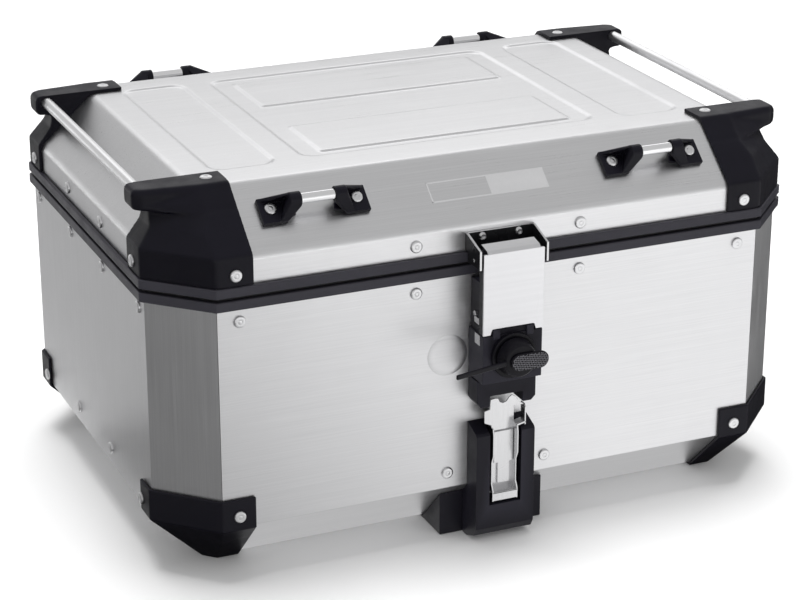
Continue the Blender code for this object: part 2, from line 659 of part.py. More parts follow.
def lower_latch():
    """The block under the lock, the housing with its open slot, and the sprung release lever in the slot."""
    back = PANEL_FRONT - GAP
    block = [(-LOCK_HALF, 0.1300), (-0.0230, 0.1250), (-0.0150, 0.1250), (-0.0150, 0.1345),
             (0.0150, 0.1345), (0.0150, 0.1250), (0.0230, 0.1250), (LOCK_HALF, 0.1290),
             (LOCK_HALF, 0.1495), (-LOCK_HALF, 0.1495)]
    slab("lower_block", [block], HOUSING_FRONT, back, "Y", PLASTIC)

    heel = -0.1990
    side_view = [(back, 0.1070), (HOUSING_FRONT + 0.002, 0.1010), (HOUSING_FRONT, 0.0990),
                 (HOUSING_FRONT, 0.0130), (HOUSING_FRONT + 0.004, 0.0060), (PANEL_FRONT, 0.0), (heel, 0.0),
                 (heel, under_slope(heel)), (back, under_slope(PANEL_FRONT))]
    housing = slab("lower_housing", [side_view], -LOCK_HALF, LOCK_HALF, "X", PLASTIC)
    cut(housing, box("housing_slot", (-0.0145, -0.3, 0.0340), (0.0145, -0.2110, 0.2), PLASTIC))
    cut(housing, pin_hole("lever_pin_hole", 0.0250, (LEVER_Y, LEVER_Z)))

    plate = [(-0.0120, 0.0365), (0.0120, 0.0365), (0.0120, 0.1070), (0.0195, 0.1080), (0.0195, 0.1205),
             (0.0125, 0.1235), (0.0115, 0.1290), (0.0085, 0.1310), (0.0050, 0.1300), (0.0025, 0.1262),
             (-0.0010, 0.1250), (-0.0045, 0.1262), (-0.0060, 0.1300), (-0.0130, 0.1300), (-0.0130, 0.1210),
             (-0.0185, 0.1200), (-0.0185, 0.1090), (-0.0120, 0.1075)]
    lever = slab("release_lever", [plate], -0.2222, -0.2205, "Y", STEEL)
    for side in (-1, 1):
        reach = sorted((side * 0.0100, side * 0.0116))
        web = [(-0.2210, 0.0370), (-0.2210, 0.1060), (-0.2160, 0.1060), (-0.2135, 0.0800), (-0.2135, 0.0400),
               (-0.2150, 0.0370)]
        join(lever, slab(f"lever_web_{side + 1}", [web], *reach, "X", STEEL))
    cut(lever, pin_hole("lever_bore", 0.05, (LEVER_Y, LEVER_Z)))
    rod("lever_pin", PIN, -0.0247, 0.0247, "X", (LEVER_Y, LEVER_Z), STEEL, 16)


def fasteners():
    """Dome head rivets with their shanks through the sheet, the hasp's pin and the bracket's two screws."""
    head = [(0.0, 0.0), (0.0022, 0.0), (0.0022, 0.0060), (0.0052, 0.0060), (0.0052, 0.0068), (0.0040, 0.0080),
            (0.0, 0.0083)]
    for index, spot in enumerate(FRONT_RIVETS, 1):
        turned(f"front_rivet_{index}", head, PANEL_FRONT + 0.0060 - GAP, "Y", spot, RIVET, 20)
    for index, spot in enumerate(LID_RIVETS, 1):
        turned(f"lid_rivet_{index}", head, PANEL_FRONT + 0.0060 - GAP, "Y", spot, RIVET, 20)
    screw = [(0.0, 0.0), (0.0022, 0.0), (0.0022, 0.0060), (0.0036, 0.0060), (0.0034, 0.0072),
             (0.0022, 0.0082), (0.0, 0.0085)]
    for index, spot in enumerate(BRACKET_SCREWS, 1):
        turned(f"bracket_screw_{index}", screw, PANEL_FRONT + 0.0042 - GAP, "Y", spot, STEEL, 16)
    rod("hasp_pin", PIN, -0.0318, 0.0318, "X", (HASP_Y, HASP_Z), STEEL, 16)


# -------------------------------------------------------------------------------------- moving groups

def carried_by(axis_name, position, names):
    """Hangs pieces on an empty that stands on their joint's axis."""
    empty = bpy.data.objects.new(axis_name, None)
    empty.location = position
    PARTS.objects.link(empty)
    for name in names:
        item = bpy.data.objects[name]
        item.parent = empty
        item.matrix_parent_inverse = Matrix.Translation(position).inverted()
    return empty


def group_moving_parts():
    """The lid with everything on it, the hasp on the lid, the knob, and the release lever."""
    starts = ("lid_", "side_rail", "tie_", "hinge_leaf_lid", "hasp_bracket", "hasp_pin", "bracket_screw")
    lid_pieces = [item.name for item in PARTS.objects if item.name.startswith(starts)]
    lid_axis = carried_by("lid_axis", (0.0, HINGE_Y, HINGE_Z), lid_pieces)
    hasp_axis = carried_by("hasp_axis", (0.0, HASP_Y, HASP_Z), ["hasp"])
    hasp_axis.parent = lid_axis
    hasp_axis.matrix_parent_inverse = Matrix.Translation((0.0, HINGE_Y, HINGE_Z)).inverted()
    carried_by("knob_axis", (0.0, LOCK_FRONT, KNOB_Z), ["lock_knob", "knob_grip", "knob_arm"])
    carried_by("lever_axis", (0.0, LEVER_Y, LEVER_Z), ["release_lever"])


base_sheets()
rims_and_seal()
foot_guards()
floor_mat()
lid_shell()
lid_guards()
side_rails()
tie_down_loops()
hinges()
hasp_bracket()
hasp()
lock()
mount_plate()
lower_latch()
fasteners()
group_moving_parts()
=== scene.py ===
"""Finished look of the aluminium top case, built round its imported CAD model.

Units are metres, in the CAD frame: +Z up, the front with the lock faces -Y.
"""
import math

import bmesh
import bpy
from mathutils import Matrix, Vector


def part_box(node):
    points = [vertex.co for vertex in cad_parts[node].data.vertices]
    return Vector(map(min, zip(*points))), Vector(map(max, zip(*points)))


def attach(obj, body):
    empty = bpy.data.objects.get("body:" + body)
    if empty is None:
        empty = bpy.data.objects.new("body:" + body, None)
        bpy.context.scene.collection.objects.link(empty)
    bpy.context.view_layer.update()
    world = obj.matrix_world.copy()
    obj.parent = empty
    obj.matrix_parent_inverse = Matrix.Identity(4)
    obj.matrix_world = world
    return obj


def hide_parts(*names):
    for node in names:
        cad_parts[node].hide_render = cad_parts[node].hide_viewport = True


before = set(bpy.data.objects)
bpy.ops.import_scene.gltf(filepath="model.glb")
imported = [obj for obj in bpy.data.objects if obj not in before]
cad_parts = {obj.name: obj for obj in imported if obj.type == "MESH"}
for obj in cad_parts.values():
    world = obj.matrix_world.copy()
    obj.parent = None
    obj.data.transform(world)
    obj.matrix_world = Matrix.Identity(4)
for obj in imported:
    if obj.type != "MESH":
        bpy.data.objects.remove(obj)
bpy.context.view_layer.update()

# ------------------------------------------------------------------- dimensions read from the frame
HALF_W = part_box("side_sheet_right")[1].x
HALF_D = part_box("base_wrap_sheet")[1].y
FLOOR_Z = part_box("base_wrap_sheet")[0].z
SEAM_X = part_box("base_wrap_sheet")[1].x
CORNER = HALF_W - SEAM_X
LID_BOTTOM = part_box("lid_shell")[0].z
LID_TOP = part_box("lid_shell")[1].z
LID_RIM_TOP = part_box("lid_rim")[1].z
PLATE_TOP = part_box("lid_guard_front_left")[1].z
GUARD_X = -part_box("lid_guard_front_left")[1].x
GUARD_Y = -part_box("lid_guard_front_left")[1].y
RAIL_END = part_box("side_rail_right")[1].y
RAIL_LOW, RAIL_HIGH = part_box("side_rail_right")
HASP_LOW, HASP_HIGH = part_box("hasp")
LEVER_LOW, LEVER_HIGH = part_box("release_lever")

# Sizes that the frame's boxes do not give.
LID_FOLD = LID_TOP - 0.0431        # height of the fold between the lid's upright band and its slopes
INSET_X, INSET_Y = 0.0473, 0.0513  # run of the lid's side slopes, and of its front and rear slopes
TOP_CUT = 0.012                    # corner cut of the lid's flat top
GUARD_WALL_X = 0.0030              # how far a lid guard stands out from the sides
GUARD_WALL_Y = 0.00275             # and from the front and rear
FOOT_WALL = FLOOR_Z                # the foot guards are as thick beside the sheets as under them
SPARE = 0.012                      # what a smoothed form has beyond its trimmed edges
SHEET = 0.0018                     # thickness of the lid's sheet
GAP = 0.0003                       # clearance between pieces
NEAR = 0.0001                      # tolerance for picking edges by height
PANEL_Y = -HALF_D                  # face of the front panel
LOCK_Y = HASP_LOW.y + 0.0005       # front of the lock body
SLOPE = math.atan2(LID_TOP - LID_FOLD, INSET_Y)


# ---------------------------------------------------------------------------------------- materials

class Finish:
    """A Principled material with helpers for its procedural detail."""

    def __init__(self, name, colour, roughness, metallic=0.0, **sockets):
        self.material = bpy.data.materials.new(name)
        self.material.use_nodes = True
        self.tree = self.material.node_tree
        self.shader = self.tree.nodes["Principled BSDF"]
        self.set(self.shader, {"Base Color": (*colour, 1.0), "Roughness": roughness, "Metallic": metallic})
        self.set(self.shader, {key.replace("_", " "): value for key, value in sockets.items()})

    def set(self, node, values):
        for key, value in values.items():
            if isinstance(value, bpy.types.NodeSocket):
                self.tree.links.new(value, node.inputs[key])
            else:
                node.inputs[key].default_value = value

    def add(self, kind, values=None, **settings):
        node = self.tree.nodes.new(kind)
        for key, value in settings.items():
            setattr(node, key, value)
        self.set(node, values or {})
        return node

    def place(self, stretch):
        """The piece's own coordinates, stretched."""
        here = self.add("ShaderNodeTexCoord").outputs["Object"]
        return self.add("ShaderNodeMapping", {"Vector": here, "Scale": stretch}).outputs[0]

    def noise(self, scale, detail=3.0, stretch=(1, 1, 1), roughness=0.55):
        values = {"Vector": self.place(stretch), "Scale": scale, "Detail": detail, "Roughness": roughness}
        return self.add("ShaderNodeTexNoise", values).outputs["Fac"]

    def spread(self, value, low, high, start=0.3, end=0.7):
        """A value between start and end, as a number from low to high."""
        values = {"Value": value, "From Min": start, "From Max": end, "To Min": low, "To Max": high}
        return self.add("ShaderNodeMapRange", values).outputs["Result"]

    def mix(self, factor, first, second):
        node = self.add("ShaderNodeMix", data_type="RGBA")
        for socket, value in ((node.inputs[0], factor), (node.inputs[6], first), (node.inputs[7], second)):
            if isinstance(value, bpy.types.NodeSocket):
                self.tree.links.new(value, socket)
            else:
                socket.default_value = value if isinstance(value, float) else (*value, 1.0)
        return node.outputs[2]

    def bump(self, height, distance, strength):
        values = {"Height": height, "Distance": distance, "Strength": strength}
        return self.add("ShaderNodeBump", values).outputs["Normal"]

    def edge_wear(self):
        """0 on faces, 1 along outer edges."""
        pointiness = self.add("ShaderNodeNewGeometry").outputs["Pointiness"]
        return self.spread(pointiness, 0.0, 1.0, 0.52, 0.62)


def brushed(name, direction, light=(0.76, 0.76, 0.77), dark=(0.66, 0.66, 0.67), roughness=0.36):
    """Sheet aluminium with fine brush lines along X, Y or Z."""
    along, across = 9.0, 850.0
    stretch = [across, across, across]
    stretch["XYZ".index(direction)] = along
    finish = Finish(name, light, roughness, 1.0, Anisotropic=0.35)
    lines = finish.noise(1.0, 4.0, stretch, roughness=0.7)
    wide = [value * 0.16 for value in stretch]
    bands = finish.noise(1.0, 2.0, wide)
    clouds = finish.noise(9.0, 3.0)
    tone = finish.mix(finish.spread(lines, 0.0, 1.0), dark, light)
    tone = finish.mix(finish.spread(bands, 0.0, 0.30), tone, dark)
    tone = finish.mix(finish.spread(clouds, 0.0, 0.22), tone, light)
    smear = finish.noise(34.0, 4.0, roughness=0.6)
    rough = finish.add("ShaderNodeMath", {0: finish.spread(lines, roughness - 0.05, roughness + 0.07),
                                          1: finish.spread(smear, -0.02, 0.03)}, operation="ADD").outputs[0]
    finish.set(finish.shader, {"Base Color": tone, "Roughness": rough,
                               "Normal": finish.bump(lines, 0.00003, 0.55)})
    return finish.material


def moulded(name, colour=(0.0038, 0.0034, 0.0068), worn=(0.015, 0.014, 0.021), roughness=0.42, grain=2600.0):
    """Black plastic with a fine moulded grain, a little lighter along its edges."""
    finish = Finish(name, colour, roughness, Specular_IOR_Level=0.16)
    fine = finish.noise(grain, 2.0)
    broad = finish.noise(26.0, 3.0)
    tone = finish.mix(finish.spread(broad, 0.0, 0.5), colour, [value * 1.45 for value in colour])
    tone = finish.mix(finish.edge_wear(), tone, worn)
    rough = finish.spread(finish.noise(60.0, 4.0), roughness - 0.06, roughness + 0.08)
    finish.set(finish.shader, {"Base Color": tone, "Roughness": rough,
                               "Normal": finish.bump(fine, 0.00006, 0.5)})
    return finish.material


def polished(name, colour, roughness, scratch=(300.0, 18.0, 18.0)):
    """Metal with a fine even polish and faint scratches."""
    finish = Finish(name, colour, roughness, 1.0)
    lines = finish.noise(1.0, 2.0, scratch, roughness=0.5)
    tone = finish.mix(finish.spread(lines, 0.0, 0.25), colour, [value * 0.82 for value in colour])
    rough = finish.spread(finish.noise(28.0, 2.0), roughness - 0.02, roughness + 0.05)
    finish.set(finish.shader, {"Base Color": tone, "Roughness": rough,
                               "Normal": finish.bump(lines, 0.000001, 0.15)})
    return finish.material


def rubbery(name):
    """Matt black rubber with a fine speckle."""
    finish = Finish(name, (0.012, 0.012, 0.013), 0.75)
    speck = finish.noise(900.0, 3.0)
    tone = finish.mix(finish.spread(speck, 0.0, 0.6), (0.010, 0.010, 0.011), (0.026, 0.026, 0.028))
    rough = finish.spread(finish.noise(40.0, 3.0), 0.66, 0.86)
    finish.set(finish.shader, {"Base Color": tone, "Roughness": rough,
                               "Normal": finish.bump(speck, 0.00012, 0.6)})
    return finish.material


FRONT_SHEET = brushed("brushed_sheet_x", "X")
SIDE_SHEET = brushed("brushed_sheet_z", "Z")
LID_SHEET = brushed("brushed_lid", "X", roughness=0.32)
BADGE = brushed("brushed_badge", "Z", (0.93, 0.93, 0.94), (0.88, 0.88, 0.89), 0.55)
TUBE = brushed("satin_tube", "Y", (0.88, 0.88, 0.89), (0.82, 0.82, 0.83), 0.34)
GUARD = moulded("guard_plastic")
RIM = moulded("rim_plastic", (0.026, 0.025, 0.032), (0.060, 0.058, 0.070), 0.36)
LOCK = moulded("lock_plastic", (0.0062, 0.0056, 0.0096), (0.020, 0.019, 0.028), 0.42)
KNOB = moulded("knob_plastic", (0.0024, 0.0022, 0.0036), (0.010, 0.009, 0.014), 0.36)
GRIP = moulded("grip_plastic", (0.085, 0.082, 0.096), (0.12, 0.118, 0.13), 0.50)
DARK_STEEL = moulded("coated_steel", (0.006, 0.006, 0.007), (0.018, 0.018, 0.020), 0.30, 1500.0)
HASP_STEEL = polished("hasp_steel", (0.73, 0.73, 0.745), 0.30, (8.0, 300.0, 300.0))
STEEL = polished("bright_steel", (0.68, 0.68, 0.69), 0.24)
CHROME = polished("rod_chrome", (0.88, 0.88, 0.89), 0.12, (14.0, 90.0, 90.0))
RIVET = polished("rivet_aluminium", (0.74, 0.74, 0.75), 0.30, (240.0, 240.0, 240.0))
RUBBER = rubbery("black_rubber")


# --------------------------------------------------------------------------------- making of pieces

def new_piece(name, bm, material, sharp=35.0):
    """A piece from a bmesh: smooth faces, and sharp edges above an angle in degrees."""
    mesh = bpy.data.meshes.new(name)
    bm.to_mesh(mesh)
    bm.free()
    mesh.materials.append(material)
    for polygon in mesh.polygons:
        polygon.use_smooth = True
    mesh.set_sharp_from_angle(angle=math.radians(sharp))
    piece = bpy.data.objects.new(name, mesh)
    bpy.context.scene.collection.objects.link(piece)
    return piece


def settle(piece, sharp=35.0):
    """Applies a piece's modifiers to its mesh."""
    bpy.context.view_layer.update()
    depsgraph = bpy.context.evaluated_depsgraph_get()
    mesh = bpy.data.meshes.new_from_object(piece.evaluated_get(depsgraph))
    piece.modifiers.clear()
    piece.data = mesh
    for polygon in mesh.polygons:
        polygon.use_smooth = True
    mesh.set_sharp_from_angle(angle=math.radians(sharp))
    return piece


def even_shading(piece):
    """Lets the large faces lead the shading."""
    piece.modifiers.new("even_shading", "WEIGHTED_NORMAL").keep_sharp = True


def boolean(piece, tool, operation="DIFFERENCE"):
    """Cuts a piece with a tool, which is used up."""
    modifier = piece.modifiers.new("cut", "BOOLEAN")
    modifier.operation = operation
    modifier.solver = "EXACT"
    modifier.object = tool
    settle(piece)
    bpy.data.objects.remove(tool, do_unlink=True)


def round_edges(bm, width, segments=3, low=28.0, high=181.0, keep=None):
    """Rounds the edges whose faces meet at an angle between two limits, in degrees."""
    bm.edges.ensure_lookup_table()
    chosen = []
    for edge in bm.edges:
        if len(edge.link_faces) != 2:
            continue
        angle = math.degrees(edge.calc_face_angle(0.0))
        if low <= angle <= high and (keep is None or keep(edge)):
            chosen.append(edge)
    bmesh.ops.bevel(bm, geom=chosen, offset=width, offset_type="OFFSET", segments=segments, profile=0.5,
                    affect="EDGES", clamp_overlap=True)
    return bm


def cad_mesh(node):
    """A CAD node's faces with their flat triangles joined, as a new bmesh."""
    bm = bmesh.new()
    bm.from_mesh(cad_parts[node].data)
    for layer in list(bm.loops.layers.float_vector.values()):
        bm.loops.layers.float_vector.remove(layer)
    bmesh.ops.remove_doubles(bm, verts=bm.verts, dist=0.00001)
    bmesh.ops.dissolve_limit(bm, angle_limit=math.radians(1.0), verts=bm.verts, edges=bm.edges)
    bmesh.ops.recalc_face_normals(bm, faces=bm.faces)
    return bm


def fixed(piece, body, slot, *nodes):
    """Hangs a finished piece on its body, and hides the nodes it stands for."""
    even_shading(piece)
    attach(piece, body)
    if nodes:
        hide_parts(*nodes)
    return piece


def refined(node, body, slot, material, width, segments=3, low=28.0, high=181.0, keep=None):
    """The node's own shape with rounded edges."""
    bm = round_edges(cad_mesh(node), width, segments, low, high, keep)
    return fixed(new_piece(f"{node}_finish", bm, material), body, slot, node)


def axis_matrix(axis):
    """Turns a shape drawn in XY and thick along Z so that its thickness runs along the given axis."""
    if axis == "X":
        return Matrix(((0, 0, 1, 0), (1, 0, 0, 0), (0, 1, 0, 0), (0, 0, 0, 1)))
    if axis == "Y":
        return Matrix(((1, 0, 0, 0), (0, 0, -1, 0), (0, 1, 0, 0), (0, 0, 0, 1)))
    return Matrix.Identity(4)


def slab_mesh(outline, start, end, axis="Z", bm=None):
    """Adds a flat outline, thick from start to end along an axis, to a bmesh."""
    bm = bm or bmesh.new()
    low, high = (-end, -start) if axis == "Y" else (start, end)
    turn = axis_matrix(axis)
    rings = [[bm.verts.new(turn @ Vector((u, v, w))) for u, v in outline] for w in (low, high)]
    count = len(outline)
    faces = [bm.faces.new(list(reversed(rings[0]))), bm.faces.new(rings[1])]
    for i in range(count):
        j = (i + 1) % count
        faces.append(bm.faces.new((rings[0][i], rings[0][j], rings[1][j], rings[1][i])))
    bmesh.ops.recalc_face_normals(bm, faces=faces)
    return bm


def rounded(outline, radius, steps=5):
    """An outline with its corners turned into arcs. A radius may be one number or one for each corner."""
    radii = radius if isinstance(radius, (list, tuple)) else [radius] * len(outline)
    result = []
    for index, corner in enumerate(outline):
        here = Vector(corner)
        before = Vector(outline[index - 1]) - here
        after = Vector(outline[(index + 1) % len(outline)]) - here
        half = before.angle(after) / 2
        reach = min(radii[index] / math.tan(half), before.length * 0.48, after.length * 0.48)
        if reach < 1e-6:
            result.append(tuple(here))
            continue
        start, end = here + before.normalized() * reach, here + after.normalized() * reach
        middle = here + (before.normalized() + after.normalized()).normalized() * (reach / math.cos(half))
        size = (start - middle).length
        turn = math.pi - 2 * half
        for step in range(steps + 1):
            share = math.sin((1 - step / steps) * turn) / math.sin(turn)
            other = math.sin(step / steps * turn) / math.sin(turn)
            direction = (start - middle) * share + (end - middle) * other
            result.append(tuple(middle + direction.normalized() * size))
    return result


def turned_mesh(profile, segments=48, bm=None):
    """Adds a profile of (radius, height) turned about Z to a bmesh."""
    bm = bm or bmesh.new()
    rings = []
    for radius, height in profile:
        if radius < 1e-7:
            rings.append([bm.verts.new((0.0, 0.0, height))])
        else:
            angles = [math.tau * i / segments for i in range(segments)]
            rings.append([bm.verts.new((radius * math.cos(a), radius * math.sin(a), height)) for a in angles])
    faces = []
    for lower, upper in zip(rings, rings[1:]):
        for i in range(segments):
            j = (i + 1) % segments
            quad = [lower[i % len(lower)], lower[j % len(lower)],
                    upper[j % len(upper)], upper[i % len(upper)]]
            unique = list(dict.fromkeys(quad))
            if len(unique) > 2:
                faces.append(bm.faces.new(unique))
    bmesh.ops.recalc_face_normals(bm, faces=faces)
    return bm


def along(normal):
    """A rotation that turns +Z to a direction."""
    return Vector(normal).to_track_quat("Z", "Y").to_matrix().to_4x4()


def rod_piece(name, radius, start, end, material, ease=0.0004, segments=64):
    """A smooth round bar between two points with eased ends."""
    start, end = Vector(start), Vector(end)
    length = (end - start).length
    profile = [(0.0, 0.0), (radius - ease, 0.0), (radius, ease), (radius, length - ease),
               (radius - ease, length), (0.0, length)]
    bm = turned_mesh(profile, segments)
    bm.transform(Matrix.Translation(start) @ along(end - start))
    return new_piece(name, bm, material, 50.0)


def pin_piece(node, body):
    """A steel pin along X in the place of a node."""
    low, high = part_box(node)
    y, z = (low.y + high.y) / 2, (low.z + high.z) / 2
    pin = rod_piece(f"{node}_finish", (high.y - low.y) / 2, (low.x, y, z), (high.x, y, z), STEEL)
    fixed(pin, body, "polished_steel", node)


def loft_mesh(rings):
    """A closed skin through rings of points."""
    bm = bmesh.new()
    loops = [[bm.verts.new(point) for point in ring] for ring in rings]
    for lower, upper in zip(loops, loops[1:]):
        for i in range(len(lower)):
            j = (i + 1) % len(lower)
            bm.faces.new((lower[i], lower[j], upper[j], upper[i]))
    bm.faces.new(list(reversed(loops[0])))
    bm.faces.new(loops[-1])
    bmesh.ops.recalc_face_normals(bm, faces=bm.faces)
    return bm


# --------------------------------------------------------------------------------------- the sheets

def octagon(half_x, half_y, corner):
    """A rectangle with cut corners."""
    outline = []
    for sign_x, sign_y, along_first in ((1, -1, True), (1, 1, False), (-1, 1, True), (-1, -1, False)):
        on_front = (sign_x * (half_x - corner), sign_y * half_y)
        on_side = (sign_x * half_x, sign_y * (half_y - corner))
        outline += [on_front, on_side] if along_first else [on_side, on_front]
    return outline


def box_plan(offset):
    """The case's plan moved outwards by an offset."""
    return octagon(HALF_W + offset, HALF_D + offset, CORNER + offset * (2 - math.sqrt(2)))


def lid_hull(offset, bottom, fold_radius, segments=4):
    """The lid's outer form moved outwards by an offset, with rounded folds."""
    ease = offset * math.tan(SLOPE / 2)
    top = octagon(HALF_W - INSET_X + ease, HALF_D - INSET_Y + ease, TOP_CUT)
    fold = box_plan(offset)
    bm = loft_mesh([[(x, y, z) for x, y in ring] for ring, z in
                    ((fold, bottom), (fold, LID_FOLD + ease), (top, LID_TOP + offset))])
    return round_edges(bm, fold_radius, segments, 12.0, 80.0)


def base_sheets():
    """The base sheets with rounded folds."""
    for node, material in (("base_wrap_sheet", FRONT_SHEET), ("side_sheet_left", SIDE_SHEET),
                           ("side_sheet_right", SIDE_SHEET)):
        refined(node, "base", "aluminium_sheet", material, 0.0016, 4, 30.0, 60.0)


# Pressed fields of the lid's top, as (low x, low y, high x, high y, corner radius).
SIDE_FIELDS = [(-0.216, -0.119, -0.160, 0.127, 0.013), (0.160, -0.119, 0.216, 0.127, 0.013)]
CENTRE_FIELD = (-0.135, -0.115, 0.135, 0.124, 0.013)
ISLANDS = [(-0.116, 0.034, 0.116, 0.110, 0.003), (-0.116, -0.105, 0.116, -0.030, 0.003)]
FIELD_DEPTH = 0.0013
FIELD_WALL = 0.0042                # width of the sloping wall round a field


def inside_field(x, y, field):
    """1 inside a rounded rectangle, 0 outside, with a smooth wall between."""
    low_x, low_y, high_x, high_y, radius = field
    from_x = abs(x - (low_x + high_x) / 2) - ((high_x - low_x) / 2 - radius)
    from_y = abs(y - (low_y + high_y) / 2) - ((high_y - low_y) / 2 - radius)
    outside = math.hypot(max(from_x, 0.0), max(from_y, 0.0)) + min(max(from_x, from_y), 0.0) - radius
    share = min(1.0, max(0.0, 0.5 - outside / FIELD_WALL))
    return share * share * (3 - 2 * share)


def pressed_depth(x, y):
    """How far the lid's top is sunk at a place."""
    centre = inside_field(x, y, CENTRE_FIELD)
    for island in ISLANDS:
        centre *= 1 - inside_field(x, y, island)
    return FIELD_DEPTH * max([centre] + [inside_field(x, y, field) for field in SIDE_FIELDS])


def grid_lines(low, high, edges):
    """Places of grid lines, close together near the walls of the pressed fields."""
    places, here = [], low
    while here < high - 0.0005:
        places.append(here)
        nearest = min(abs(here - edge) for edge in edges)
        here += 0.0009 if nearest < 0.0040 else 0.0020 if nearest < 0.016 else 0.009
    return places + [high]


def lid_shell():
    """The lid's pressed skin: rounded outside, fields sunk in its top, and the sheet's inner face."""
    bm = lid_hull(0.0, LID_BOTTOM, 0.0048, 5)
    flat = [face for face in bm.faces if abs(face.normal.z) > 0.999]
    bmesh.ops.delete(bm, geom=flat, context="FACES_ONLY")
    fields = SIDE_FIELDS + [CENTRE_FIELD] + ISLANDS
    half_x, half_y = 0.2260, 0.1350    # half the grid that holds the fields
    xs = grid_lines(-half_x, half_x, [field[i] for field in fields for i in (0, 2)])
    ys = grid_lines(-half_y, half_y, [field[i] for field in fields for i in (1, 3)])
    grid = [[bm.verts.new((x, y, LID_TOP - pressed_depth(x, y))) for y in ys] for x in xs]
    for i in range(len(xs) - 1):
        for j in range(len(ys) - 1):
            bm.faces.new((grid[i][j], grid[i + 1][j], grid[i + 1][j + 1], grid[i][j + 1]))
    border = [edge for edge in bm.edges if edge.is_boundary and edge.verts[0].co.z > LID_TOP - NEAR]
    bmesh.ops.triangle_fill(bm, use_beauty=True, edges=border, normal=(0, 0, 1))
    inner = lid_hull(-SHEET, LID_BOTTOM, 0.0030, 3)
    base = [face for face in inner.faces if face.normal.z < -0.999]
    bmesh.ops.delete(inner, geom=base, context="FACES_ONLY")
    bmesh.ops.reverse_faces(inner, faces=inner.faces)
    lining = bpy.data.meshes.new("lining")
    inner.to_mesh(lining)
    inner.free()
    bm.from_mesh(lining)
    bpy.data.meshes.remove(lining)
    ends = [edge for edge in bm.edges if edge.is_boundary and edge.verts[0].co.z < LID_BOTTOM + NEAR]
    bmesh.ops.bridge_loops(bm, edges=ends)
    fixed(new_piece("lid_shell_finish", bm, LID_SHEET, 60.0), "lid", "aluminium_sheet", "lid_shell")


def rims_and_seal():
    """The two rim channels and the seal between them."""
    for node, body in (("base_rim", "base"), ("lid_rim", "lid")):
        refined(node, body, "rim_plastic", RIM, 0.0009, 3, 40.0)
    refined("rim_seal", "base", "rubber", RUBBER, 0.0006, 2, 60.0)


def floor_mat():
    """A ribbed rubber mat."""
    low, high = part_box("floor_mat")
    corner, pitch, half_rib = 0.006, 0.012, 0.0030
    end_y = high.y - corner
    bm = slab_mesh(octagon(high.x, high.y, corner), low.z, high.z - 0.0009)
    count = int((high.x - corner) / pitch)
    for index in range(-count, count + 1):
        left, right = index * pitch - half_rib, index * pitch + half_rib
        rib = rounded([(left, -end_y), (right, -end_y), (right, end_y), (left, end_y)], 0.0028, 3)
        slab_mesh(rib, high.z - 0.0010, high.z, "Z", bm)
    fixed(new_piece("floor_mat_finish", bm, RUBBER), "base", "rubber", "floor_mat")


# --------------------------------------------------------------------------------------- the guards

def corners(prefix):
    """The name of each corner's piece, and the signs of its X and Y."""
    for end, sign_y in (("front", -1), ("rear", 1)):
        for side, sign_x in (("left", -1), ("right", 1)):
            yield f"{prefix}_{end}_{side}", sign_x, sign_y


def slope_y(z, offset):
    """Y of the lid's rear face at a height, moved outwards by an offset."""
    ease = offset * math.tan(SLOPE / 2)
    return HALF_D + offset - max(0.0, z - LID_FOLD - ease) * INSET_Y / (LID_TOP - LID_FOLD)


def guard_rings():
    """Sections of one lid guard from the rim up: body, hand hollow, overhanging arm and top plate.

    They run a little past the guard's edges, which are trimmed after the form is smoothed.
    """
    wall = GUARD_WALL_Y
    front = HALF_D + wall
    side = HALF_W + GUARD_WALL_X
    edge = HALF_W - CORNER - 0.0020
    cut_line = HALF_W + HALF_D - CORNER + 0.0039
    neck = cut_line - 0.0170

    def section(z, side_x, corner_y, middle, front_edge, front_y):
        start_x, start_y = GUARD_X - SPARE, GUARD_Y - SPARE
        return [(start_x, start_y, z), (side_x, start_y, z), (side_x, corner_y, z), (*middle, z),
                (*front_edge, z), (edge, front_y, z), (start_x, front_y, z)]

    body = {"side_x": side, "corner_y": cut_line - side, "middle": (0.2700, cut_line - 0.2700),
            "front_edge": (cut_line - front, front)}
    low_y, high_y = slope_y(0.3000, wall), slope_y(0.3110, wall)
    arm = {"corner_y": 0.1500, "middle": (0.2870, 0.1550)}
    return [
        section(LID_RIM_TOP - SPARE, front_y=front, **body),
        section(0.2845, front_y=front, **body),
        section(0.3000, 0.2820, neck - 0.2820, (0.2660, neck - 0.2660), (neck - low_y, low_y), low_y),
        section(0.3110, 0.2800, 0.1480, (0.2640, 0.1610), (0.2440, high_y - 0.0014), high_y),
        section(0.3125, 0.2930, front_edge=(0.2440, 0.1746), front_y=slope_y(0.3130, wall), **arm),
        section(0.3160, 0.2942, front_edge=(0.2440, 0.1706), front_y=slope_y(0.3160, wall), **arm),
        section(0.3255, 0.2942, front_edge=(0.2440, 0.1600), front_y=slope_y(0.3255, wall), **arm),
        section(PLATE_TOP - 0.0008, 0.2925, 0.1490, (0.2865, 0.1530), (0.2440, 0.1570), 0.1575),
        section(PLATE_TOP, 0.2905, 0.1480, (0.2850, 0.1515), (0.2440, 0.1555), 0.1560),
    ]


def smoothed(piece, voxel, rounds, keep=1.0):
    """Remeshes a piece, rounds its edges, and thins its faces out again to a share of their number."""
    remesh = piece.modifiers.new("remesh", "REMESH")
    remesh.mode = "VOXEL"
    remesh.voxel_size = voxel
    smooth = piece.modifiers.new("smooth", "SMOOTH")
    smooth.factor = 0.5
    smooth.iterations = rounds
    if keep < 1.0:
        piece.modifiers.new("thin_out", "DECIMATE").ratio = keep
    return settle(piece)


